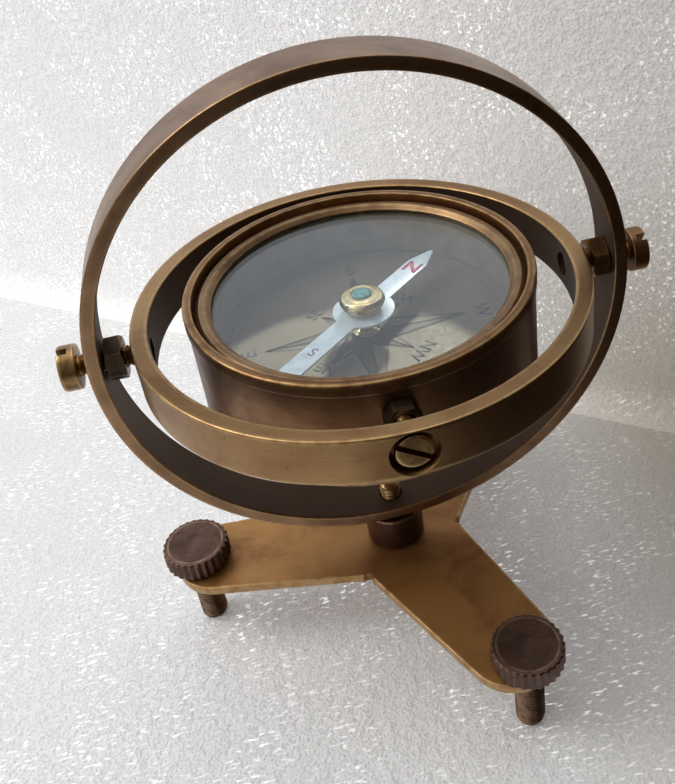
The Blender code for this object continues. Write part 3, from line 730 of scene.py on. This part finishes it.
section = strip_outline(RING_RADIUS, RING_INNER_RADIUS, extent("outer_ring").y, 0.32 * MM)
ring = revolve("outer_ring_detail", section, 240, True)
place(ring, RING_CENTRE, (90, 0, 0))
reach = RING_RADIUS + 3 * MM
carve(
    ring,
    cylinder_cutter(RING_HOLE_RADIUS, -reach, reach, PIVOT, (0, 90, 0)),
    cylinder_cutter(BOLT_HOLE_RADIUS, -reach, -RING_INNER_RADIUS + 5 * MM, RING_CENTRE),
)
keep_inner_wall(ring, RING_INNER_RADIUS)
keep(ring, "stand", "outer_ring", ring_brass)


# ---- the levelling screws


def knurled(angle, radius, height, wear):
    """Straight teeth on the knob's rim, cut through its edges."""
    if radius < KNOB_RADIUS - 0.6 * MM:
        return radius, height, wear
    phase = (KNURL_TEETH * angle / (2 * math.pi)) % 1.0
    valley = 1 - abs(2 * phase - 1)
    share = min(1.0, (radius - KNOB_RADIUS + 0.6 * MM) / (0.4 * MM))
    return radius - share * KNURL_DEPTH * valley, height, wear * (1.0 - valley)


for side in SIDES:
    stud_node, knob_node = f"levelling_stud_{side}", f"levelling_knob_{side}"
    bottom, top = (corner.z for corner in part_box(knob_node))
    spot = middle(stud_node)
    foot = Vector((spot.x, spot.y, 0))
    shoulder = bottom - 0.3 * MM
    outline = rounded(
        [(0, top + 0.01 * MM, 0), (RIVET_RADIUS, top, 0), (RIVET_RADIUS, shoulder, 0)],
        closed=False,
    )
    outline += [(STUD_RADIUS, shoulder, 0.5)]
    outline += shank(STUD_RADIUS, 1.1 * MM, shoulder, STUD_PITCH)
    outline += rounded([
        (STUD_RADIUS, 1.1 * MM, 0), (2.6 * MM, 0.22 * MM, 0.3 * MM), (1.9 * MM, 0, 0.1 * MM),
        (0, 0, 0),
    ], closed=False)
    shape = thread(STUD_PITCH, 0.55 * STUD_PITCH, 0.7 * MM, shoulder - 0.2 * MM)
    shape = on_shank(shape, STUD_RADIUS)
    stud = revolve(f"{stud_node}_detail", outline, 64, False, shape)
    keep(place(stud, foot), f"stud_{side}", stud_node, dark_brass)

    bore = RIVET_RADIUS + 0.03 * MM
    rim = KNOB_RADIUS
    outline = rounded([
        (bore, top, 0), (rim - 1.3 * MM, top, 0.8 * MM),
        (rim - 0.35 * MM, top - 0.12 * MM, 0.15 * MM), (rim, top - 0.45 * MM, 0.2 * MM),
        (rim, bottom + 0.45 * MM, 0.3 * MM), (rim - 0.7 * MM, bottom, 0.2 * MM),
        (bore, bottom, 0),
    ], hold=0.4)
    knob = revolve(f"{knob_node}_detail", outline, 8 * KNURL_TEETH, True, knurled, 50)
    keep(place(knob, foot), f"knob_{side}", knob_node, dark_brass)


# ---- the gimbal ring

section = strip_outline(GIMBAL_RADIUS, GIMBAL_INNER_RADIUS, extent("gimbal_ring").z, 0.35 * MM)
gimbal = place(revolve("gimbal_ring_detail", section, 240, True), PIVOT)
reach = GIMBAL_RADIUS + 3 * MM
cuts = [
    cylinder_cutter(GIMBAL_HOLE_RADIUS, -reach, reach, PIVOT, (0, 90, 0)),
    cylinder_cutter(BOWL_BEARING_RADIUS, -reach, reach, PIVOT, (90, 0, 0)),
]
for turn in (90, -90):
    cuts.append(cylinder_cutter(COUNTERBORE_RADIUS, COUNTERBORE_FLOOR, reach, PIVOT, (turn, 0, 0)))
    cuts.append(cylinder_cutter(
        COUNTERBORE_RADIUS - 0.1 * MM, GIMBAL_RADIUS - COUNTERBORE_CHAMFER,
        GIMBAL_RADIUS + 0.4 * MM, PIVOT, (turn, 0, 0),
        top_radius=COUNTERBORE_RADIUS + COUNTERBORE_CHAMFER,
    ))
carve(gimbal, *cuts)
keep_inner_wall(gimbal, GIMBAL_INNER_RADIUS)
keep(gimbal, "gimbal", "gimbal_ring", gimbal_brass)

# Each side: its turn about Y, the angles of its slot and its nut's corner, and their finishes.
# The right screw's darker bowl brass is painted shade on the side away from the light.
for side, turn, slot_angle, corner, screw_finish_and_shade, nut_finish in (
    ("left", -90, -10, 13.7, screw_brass, nut_brass),
    # Painted shade: the right screw takes the darker bowl brass.
    ("right", 90, 29, -3, bowl_brass, screw_brass),
):
    node = f"outer_pivot_screw_{side}"
    near, far = reach_from_pivot(node, 0)
    screw = slotted_screw(
        f"{node}_detail", extent(node).z / 2, far - OUTER_HEAD_THICKNESS, far,
        OUTER_SHANK_RADIUS, near, OUTER_PITCH,
        (OUTER_SLOT_WIDTH, OUTER_SLOT_DEPTH, slot_angle),
    )
    keep(place(screw, PIVOT, (0, turn, 0)), "gimbal", node, screw_finish_and_shade)
    node = f"outer_pivot_nut_{side}"
    near, far = reach_from_pivot(node, 0)
    bore = OUTER_SHANK_RADIUS + 0.1 * MM
    locknut = nut(f"{node}_detail", OUTER_NUT_FLATS, far - near, bore, corner)
    start = PIVOT + Vector((math.copysign(near, turn), 0, 0))
    keep(place(locknut, start, (0, turn, 0)), "gimbal", node, nut_finish)


# ---- the bowl

low, high = span("bowl_case")
rim_low = high - 2.6 * MM
floor_high = low + BOWL_FLOOR_THICKNESS
case = revolve("bowl_case_detail", rounded([
    (0, floor_high, 0), (WELL_RADIUS, floor_high, 0.5 * MM), (WELL_RADIUS, WELL_TOP, 0),
    (BOWL_INNER_RADIUS, WELL_TOP, 0.2 * MM), (BOWL_INNER_RADIUS, high, 0.22 * MM),
    (BOWL_LIP_RADIUS, high, 0.45 * MM), (BOWL_LIP_RADIUS, rim_low, 0.15 * MM),
    (BOWL_RADIUS, rim_low - 0.3 * MM, 0), (BOWL_RADIUS, low, 1.4 * MM), (0, low, 0),
], closed=False), 192)
place(case, PIVOT)
carve(case, cylinder_cutter(BOWL_HOLE_RADIUS, -40 * MM, 40 * MM, PIVOT, (90, 0, 0)))
keep(case, "bowl", "bowl_case", bowl_brass)

low, high = span("retaining_ring")
outer = extent("retaining_ring").x / 2
inner = BEZEL_INNER_RADIUS
turned_piece("retaining_ring", [
    (inner, low, 0.1 * MM), (inner, low + 0.35 * MM, 0.2 * MM),
    (inner + 1.1 * MM, high, 0.5 * MM), (outer - 0.9 * MM, high, 0.4 * MM),
    (outer, low + 0.45 * MM, 0.2 * MM), (outer, low, 0.1 * MM),
], "bowl", bezel_brass, 192)

low, high = span("cover_glass")
rim = extent("cover_glass").x / 2
turned_piece("cover_glass", [
    (0, high, 0), (rim, high, 0.2 * MM), (rim, low, 0.2 * MM), (0, low, 0),
], "bowl", glass, closed=False)

low, high = span("spacer_ring")
outer = extent("spacer_ring").x / 2
inner = LINER_INNER_RADIUS
turned_piece("spacer_ring", [
    (inner, high, 0.25 * MM), (outer, high, 0.1 * MM), (outer, low, 0.1 * MM),
    (inner, low, 0.25 * MM),
], "bowl", liner_paint)

low, CARD_TOP = span("dial_card")
outer = extent("dial_card").x / 2
turned_piece("dial_card", [
    (CARD_HOLE_RADIUS, CARD_TOP, 0.05 * MM), (outer, CARD_TOP, 0.1 * MM),
    (outer, low, 0.1 * MM), (CARD_HOLE_RADIUS, low, 0),
], "bowl", shaded_card_paper)


# ---- the printed dial


def toward(angle, radius):
    a = math.radians(angle)
    return Vector((radius * math.cos(a), radius * math.sin(a), 0))


def add_polygon(bm, points, slot):
    face = bm.faces.new([bm.verts.new(p) for p in points])
    if face.normal.z < 0:
        face.normal_flip()
    face.material_index = slot


def add_line(bm, start, end, width):
    across = (end - start).normalized().cross(Vector((0, 0, 1))) * width / 2
    add_polygon(bm, [start - across, end - across, end + across, start + across], 0)


def add_circle(bm, radius, width, steps=120):
    inside, outside = radius - width / 2, radius + width / 2
    for k in range(steps):
        a, b = 360 * k / steps, 360 * (k + 1) / steps
        corners = ((a, inside), (b, inside), (b, outside), (a, outside))
        add_polygon(bm, [toward(*corner) for corner in corners], 0)


def add_letters(bm, text, size, radius, direction, slot=0, bold=0.08 * MM):
    """Flat letters whose tops point in a direction, a radius along it (behind if negative)."""
    curve = bpy.data.curves.new("letters", "FONT")
    curve.body = text
    curve.size = size
    curve.align_x = "CENTER"
    curve.align_y = "CENTER"
    curve.offset = bold
    source = add_object("letters", curve)
    graph = bpy.context.evaluated_depsgraph_get()
    mesh = bpy.data.meshes.new_from_object(source.evaluated_get(graph))
    bpy.data.objects.remove(source, do_unlink=True)
    turned = Matrix.Rotation(math.radians(direction - 90), 4, "Z")
    mesh.transform(Matrix.Translation(toward(direction, radius)) @ turned)
    start = len(bm.faces)
    bm.from_mesh(mesh)
    bm.faces.ensure_lookup_table()
    for face in bm.faces[start:]:
        face.material_index = slot


def print_piece(name, bm, materials, height, body):
    """Ink as a very thin solid layer, just clear of the surface at this height."""
    bmesh.ops.remove_doubles(bm, verts=bm.verts, dist=1e-8)
    mesh = bpy.data.meshes.new(name)
    bm.to_mesh(mesh)
    bm.free()
    for material in materials:
        mesh.materials.append(material)
    obj = place(add_object(name, mesh), PIVOT + Vector((0, 0, height + LAYER)))
    layer = obj.modifiers.new("layer", "SOLIDIFY")
    layer.thickness = LAYER
    layer.offset = 1.0
    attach(obj, body)


def rose_point(bm, angle, tip, waist, waist_angle):
    """One point of the rose: two outlined halves, the second tinted."""
    end = toward(angle, tip)
    left, right = toward(angle + waist_angle, waist), toward(angle - waist_angle, waist)
    centre = toward(angle, 0.4 * MM)
    add_polygon(bm, [centre, right, end], 1)
    lift = Vector((0, 0, LAYER))
    for start in (left, right, centre):
        add_line(bm, start + lift, end + lift, ROSE_LINE)


rose = bmesh.new()
for k in range(4):
    rose_point(rose, CARD_NORTH + 45 + 90 * k, SHORT_TIP, SHORT_WAIST, 40)
for k in range(4):
    rose_point(rose, CARD_NORTH + 90 * k, ROSE_TIP, ROSE_WAIST, 45)
for k in range(72):
    angle = CARD_NORTH + 5 * k
    inner_end = 28.0 * MM if k % 2 == 0 else 28.5 * MM
    add_line(rose, toward(angle, inner_end), toward(angle, SCALE_RADIUS), SCALE_LINE)
add_circle(rose, SCALE_RADIUS, SCALE_LINE)
add_circle(rose, INNER_CIRCLE_RADIUS, 0.10 * MM)
for k, text in enumerate(("N", "NE", "E", "SE", "S", "SW", "W", "NW")):
    size, radius = (4.4 * MM, 24.5 * MM) if k % 2 == 0 else (3.8 * MM, 13.8 * MM)
    add_letters(rose, text, size, radius, CARD_NORTH - 45 * k)
print_piece("dial_print", rose, [card_ink, card_tint], CARD_TOP, "bowl")


# ---- the needle and its pivot

low, high = span("pivot_post")
pin_hole, stem, flange = 0.45 * MM, 0.9 * MM, 2.9 * MM
turned_piece("pivot_post", [
    (pin_hole, high, 0.05 * MM), (stem, high, 0.2 * MM), (stem, low + 2.1 * MM, 0.5 * MM),
    (2.2 * MM, low + 1.0 * MM, 0.4 * MM), (flange, low + 0.7 * MM, 0.2 * MM),
    (flange, low, 0.1 * MM), (pin_hole, low, 0),
], "bowl", bright_brass, 64)

low, high = span("needle")
half = NEEDLE_HALF_WIDTH
meet = math.degrees(math.asin(half / HUB_RADIUS))
hub_arc = [meet + (180 - 2 * meet) * k / 24 for k in range(25)]
tail = Vector((half - NEEDLE_LENGTH, 0))
outline = [
    Vector((NEEDLE_LENGTH, 0)), Vector((NEEDLE_LENGTH - 0.5 * MM, 0.5 * MM)),
    Vector((NEEDLE_LENGTH - NEEDLE_POINT_LENGTH, half)),
]
outline += [toward(angle, HUB_RADIUS).xy for angle in hub_arc]
outline += [tail + toward(90 + 180 * k / 16, half).xy for k in range(17)]
outline += [toward(180 + angle, HUB_RADIUS).xy for angle in hub_arc]
outline += [
    Vector((NEEDLE_LENGTH - NEEDLE_POINT_LENGTH, -half)),
    Vector((NEEDLE_LENGTH - 0.5 * MM, -0.5 * MM)),
]
needle = polygon_solid("needle_detail", outline, low, high, 0.1 * MM, 2)
place(needle, PIVOT, (0, 0, NEEDLE_DIRECTION))
carve(needle, cylinder_cutter(HUB_HOLE_RADIUS, low - MM, high + MM, PIVOT, segments=32))
keep(needle, "compass_needle", "needle", needle_paint)

letters = bmesh.new()
add_letters(letters, "N", 5.0 * MM, 17.4 * MM, NEEDLE_DIRECTION, 0, 0.20 * MM)
add_letters(letters, "S", 3.4 * MM, -16.5 * MM, NEEDLE_DIRECTION, 1, 0.04 * MM)
print_piece(
    "needle_letters", letters, [red_paint, blue_paint], high, "compass_needle",
)

low, high = span("needle_cap")
rim = extent("needle_cap").x / 2
foot, seat = 3.4 * MM, 2.25 * MM
turned_piece("needle_cap", [
    (0, high - 0.4 * MM, 0), (seat, high - 0.4 * MM, 0), (seat, high, 0.1 * MM),
    (rim - 1.7 * MM, high, 0.5 * MM), (rim - 0.45 * MM, high - 0.5 * MM, 0.7 * MM),
    (rim, high - 1.2 * MM, 0.4 * MM), (rim, high - 1.75 * MM, 0.15 * MM),
    (rim - 0.45 * MM, high - 1.95 * MM, 0.1 * MM), (rim - 0.3 * MM, high - 2.5 * MM, 0.2 * MM),
    (foot + 0.35 * MM, low + 0.75 * MM, 0.1 * MM), (foot + 0.45 * MM, low + 0.4 * MM, 0.15 * MM),
    (foot, low, 0.1 * MM), (1.2 * MM, low, 0), (1.2 * MM, low + 0.3 * MM, 0),
    (0, low + 0.9 * MM, 0),
], "compass_needle", bright_brass, 96, closed=False)

low, high = span("cap_jewel")
radius = extent("cap_jewel").x / 2
girdle = low + 0.35 * MM
dome = []
for k in range(9):
    a = math.radians(90 - 80 * k / 8)
    dome.append((radius * math.cos(a), girdle + (high - girdle) * math.sin(a), 0))
dome += [(radius, low + 0.3 * MM, 0), (radius, low, 0), (0, low, 0)]
stone = revolve("cap_jewel_detail", dome, 64)
keep(place(stone, PIVOT), "compass_needle", "cap_jewel", green_glass)

for side, turn in (("front", 90), ("rear", -90)):
    node = f"bowl_pivot_screw_{side}"
    near, far = reach_from_pivot(node, 1)
    screw = slotted_screw(
        f"{node}_detail", extent(node).x / 2, far - BOWL_HEAD_THICKNESS, far,
        BOWL_SHANK_RADIUS, near, BOWL_PITCH, (BOWL_SLOT_WIDTH, BOWL_SLOT_DEPTH, -32),
    )
    keep(place(screw, PIVOT, (turn, 0, 0)), "bowl", node, screw_brass)
    node = f"bowl_pivot_nut_{side}"
    near, far = reach_from_pivot(node, 1)
    bore = BOWL_SHANK_RADIUS + 0.15 * MM
    locknut = nut(f"{node}_detail", BOWL_NUT_FLATS, far - near, bore, -4)
    start = PIVOT - Vector((0, math.copysign(near, turn), 0))
    keep(place(locknut, start, (turn, 0, 0)), "bowl", node, nut_brass)

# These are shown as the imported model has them.
for node, material in (("ballast_weight", lead), ("dial_plate", screw_brass), ("pivot_pin", steel)):
    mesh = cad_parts[node].data
    mesh.materials.clear()
    mesh.materials.append(material)


# ---- floor, light and camera


def foam(name, painted_glow, one_sided=False):
    """White packing foam of fused beads, with painted glints, a painted glow all over, and painted
    shade that makes it darker and warmer towards the right, most near the floor.
    """
    material, n, shader = new_material(name)
    point = n.place()
    beads = n.make("ShaderNodeTexVoronoi", feature="F1")
    n.fill(beads, Vector=point, Scale=420.0)
    grain = n.noise(point, 1300, 3.0, 0.6)
    streaks = n.noise(n.stretched(point, (420, 1500, 900)), 1.0, 1.0, 0.5)
    soft = n.noise(point, 9, 3.0)
    tone = n.mix(n.ramp(grain, 0.32, 0.64), (0.66, 0.66, 0.66), (0.84, 0.84, 0.85))
    tone = n.mix(n.ramp(soft, 0.3, 0.7, 0.0, 0.35), tone, (0.70, 0.70, 0.69))
    clusters = n.ramp(n.noise(point, 60, 2.0), 0.35, 0.65)
    # Painted glints: sparse streaks turned white, which also glow.
    painted_glints = n.maths("MULTIPLY", n.ramp(streaks, 0.58, 0.72), clusters)
    tone = n.mix(painted_glints, tone, (1.0, 1.0, 1.0))
    parts = n.make("ShaderNodeSeparateXYZ")
    n.link(point, parts.inputs[0])
    x, _, z = parts.outputs
    # Painted shade: darker and warmer towards the right, most near the floor.
    painted_shade = n.maths("MULTIPLY", n.ramp(x, 0.0, 0.11), n.ramp(z, 0.0, 0.1, 0.9, 0.4))
    tone = n.mix(painted_shade, tone, (0.30, 0.255, 0.19))
    # Painted glow: the foam emits light from its glints and all over.
    painted_glint_glow = n.maths("ADD", n.maths("MULTIPLY", painted_glints, 0.5), painted_glow)
    raised = n.bump(grain, 0.9, 0.0006, n.bump(beads.outputs["Distance"], 0.5, 0.0006))
    n.fill(shader, Base_Color=tone, Emission_Color=tone, Emission_Strength=painted_glint_glow,
           Roughness=0.38, Normal=raised)
    if one_sided:
        seen_behind = n.make("ShaderNodeNewGeometry").outputs["Backfacing"]
        open_way = n.make("ShaderNodeBsdfTransparent")
        blend_surface(n, seen_behind, shader.outputs[0], open_way.outputs[0])
    return material


def sheet(name, rows, material):
    """A sheet through rows of two points each."""
    faces = [(2 * k, 2 * k + 1, 2 * k + 3, 2 * k + 2) for k in range(len(rows) - 1)]
    mesh = bpy.data.meshes.new(name)
    mesh.from_pydata([p for row in rows for p in row], [], faces)
    mesh.materials.append(material)
    mesh.shade_smooth()
    obj = add_object(name, mesh)
    return obj


def studio_floor(name):
    """A pale floor to the camera that looks dark in the brass: to every other ray it is dark brown,
    a painted shade that stands for an unlit room.
    """
    material, n, shader = new_material(name)
    tone = n.ramp(n.noise(n.place(), 25, 3.0), 0.35, 0.65)
    colour = n.mix(tone, (0.60, 0.59, 0.58), (0.66, 0.65, 0.64))
    n.fill(shader, Base_Color=colour, Roughness=0.7)
    # Painted shade: the brass reflects this dark brown instead of the pale floor.
    unlit = n.make("ShaderNodeBsdfDiffuse")
    n.fill(unlit, Color=(0.03, 0.02, 0.014, 1.0))
    camera_ray = n.make("ShaderNodeLightPath").outputs["Is Camera Ray"]
    blend_surface(n, camera_ray, unlit.outputs[0], shader.outputs[0])
    return material


# The foam is a tray with one side up, which stands behind the object at an angle and can't be seen
# from its back. It lies on the studio's floor, which is just below z = 0.
BACKDROP_ANGLE = -37.0
BACKDROP_DISTANCE = 86 * MM
BACKDROP_HEIGHT = 128 * MM
FOLD_RADIUS = 9 * MM
FOAM_LEFT, FOAM_RIGHT, FOAM_FRONT = -0.6, 0.085, 0.45
FLOOR_LEVEL, FLOOR_REACH = -2 * MM, 3.0
bearing = math.radians(BACKDROP_ANGLE)
run = Vector((math.cos(bearing), math.sin(bearing), 0))
inward = Vector((run.y, -run.x, 0))


def foam_row(forward, height):
    """Both ends of a line along the foam, this far in front of the fold and this high."""
    centre = inward * (forward - BACKDROP_DISTANCE) + Vector((0, 0, height))
    return [run * end + centre for end in (FOAM_LEFT, FOAM_RIGHT)]


bend = [foam_row(FOLD_RADIUS * (1 - math.sin(a)), FOLD_RADIUS * (1 - math.cos(a)))
        for a in (math.radians(9 * k) for k in range(11))]
wall = bend + [foam_row(0, BACKDROP_HEIGHT)]
sheet("floor", [foam_row(FOAM_FRONT, 0), bend[0]], foam("floor_foam", 0.12))
backdrop = sheet("backdrop", wall, foam("backdrop_foam", 0.36, one_sided=True))
backdrop.visible_shadow = False
floor_rows = [[(x, y, FLOOR_LEVEL) for x in (-FLOOR_REACH, FLOOR_REACH)]
              for y in (-FLOOR_REACH, FLOOR_REACH)]
sheet("studio_floor", floor_rows, studio_floor("pale_floor"))


def soft_light(name, bearing, height, distance, width, depth, radiance, colour):
    """A rectangular lamp that faces the bowl, with bearing and height in degrees. Bearing 0 is
    behind the object, positive to its right."""
    lamp = bpy.data.lights.new(name, "AREA")
    lamp.shape = "RECTANGLE"
    lamp.size, lamp.size_y = width, depth
    lamp.energy = radiance * math.pi * width * depth
    lamp.color = colour
    obj = add_object(name, lamp)
    a, e = math.radians(bearing), math.radians(height)
    away = Vector((math.sin(a) * math.cos(e), math.cos(a) * math.cos(e), math.sin(e)))
    obj.location = PIVOT + away * distance
    obj.rotation_euler = away.to_track_quat("Z", "Y").to_euler()
    return obj


def gleam(name, radiance, colour, pieces):
    """A low gleam from behind that only falls on the named pieces."""
    light = soft_light(
        name, bearing=24, height=31, distance=1.0, width=0.10, depth=0.07, radiance=radiance,
        colour=colour,
    )
    lit = bpy.data.collections.new(name)
    for piece in pieces:
        lit.objects.link(bpy.data.objects[piece])
    light.light_linking.receiver_collection = lit


DAYLIGHT = (1.0, 0.99, 0.97)
gleam("dial_gleam", 1050.0, (1.0, 0.93, 0.78), ("dial_card_detail", "dial_print"))
gleam("needle_gleam", 210.0, (0.97, 0.98, 1.0),
      ("needle_detail", "needle_letters", "pivot_post_detail"))
soft_light(
    "left_window", bearing=-80, height=48, distance=0.7, width=0.35, depth=0.35, radiance=5.4,
    colour=DAYLIGHT,
)
soft_light(
    "ceiling", bearing=-30, height=80, distance=1.0, width=0.8, depth=0.8, radiance=0.8,
    colour=DAYLIGHT,
)

world = bpy.data.worlds.new("room")
bpy.context.scene.world = world
world.use_nodes = True
room = Nodes(world.node_tree)
view = room.make("ShaderNodeTexCoord").outputs["Generated"]


def lobe(direction, start, end):
    """How far a direction of the room lies towards another."""
    node = room.make("ShaderNodeVectorMath", operation="DOT_PRODUCT")
    room.link(view, node.inputs[0])
    node.inputs[1].default_value = Vector(direction).normalized()
    return room.ramp(node.outputs["Value"], start, end)


# The room as the brass reflects it, with a window to the left and a sky behind, and as a camera
# sees it.
ROOM_DARK = (0.045, 0.032, 0.024)
ROOM_LEFT = (0.80, 0.78, 0.76)
ROOM_BEHIND = (0.82, 0.87, 0.95)
ROOM_SEEN = (0.42, 0.42, 0.42)
reflected = room.mix(lobe((-0.85, -0.05, 0.45), 0.2, 0.9), ROOM_DARK, ROOM_LEFT)
reflected = room.mix(lobe((0.05, 0.80, 0.60), 0.35, 0.85), reflected, ROOM_BEHIND)
seen = room.make("ShaderNodeLightPath").outputs["Is Camera Ray"]
room.link(room.mix(seen, reflected, ROOM_SEEN), world.node_tree.nodes["Background"].inputs[0])

# Where the camera is round the upright ring's middle, in degrees.
CAMERA_BEARING, CAMERA_HEIGHT, CAMERA_ROLL = -9.22, 34.01, -6.79
CAMERA_DISTANCE = 201.2 * MM
CAMERA_RIGHT, CAMERA_UP = 8.42 * MM, 1.61 * MM
FOCAL_LENGTH = 45.23
SHIFT_X, SHIFT_Y = -0.086, -0.115
camera_data = bpy.data.cameras.new("camera")
camera_data.sensor_fit = "AUTO"
camera_data.sensor_width = 36.0
camera_data.lens = FOCAL_LENGTH
camera_data.shift_x, camera_data.shift_y = SHIFT_X, SHIFT_Y
camera_data.clip_start = 0.01
camera = add_object("camera", camera_data)
a, e, roll = (math.radians(v) for v in (CAMERA_BEARING, CAMERA_HEIGHT, CAMERA_ROLL))
back = Vector((math.sin(a) * math.cos(e), -math.cos(a) * math.cos(e), math.sin(e)))
level = Vector((math.cos(a), math.sin(a), 0))
upright = back.cross(level)
right = level * math.cos(roll) + upright * math.sin(roll)
up = upright * math.cos(roll) - level * math.sin(roll)
spot = RING_CENTRE + right * CAMERA_RIGHT + up * CAMERA_UP + back * CAMERA_DISTANCE
turned_axes = Matrix((right, up, back)).transposed().to_4x4()
camera.matrix_world = Matrix.Translation(spot) @ turned_axes
bpy.context.scene.camera = camera
bpy.context.scene.view_settings.view_transform = "Standard"

bpy.context.view_layer.update()
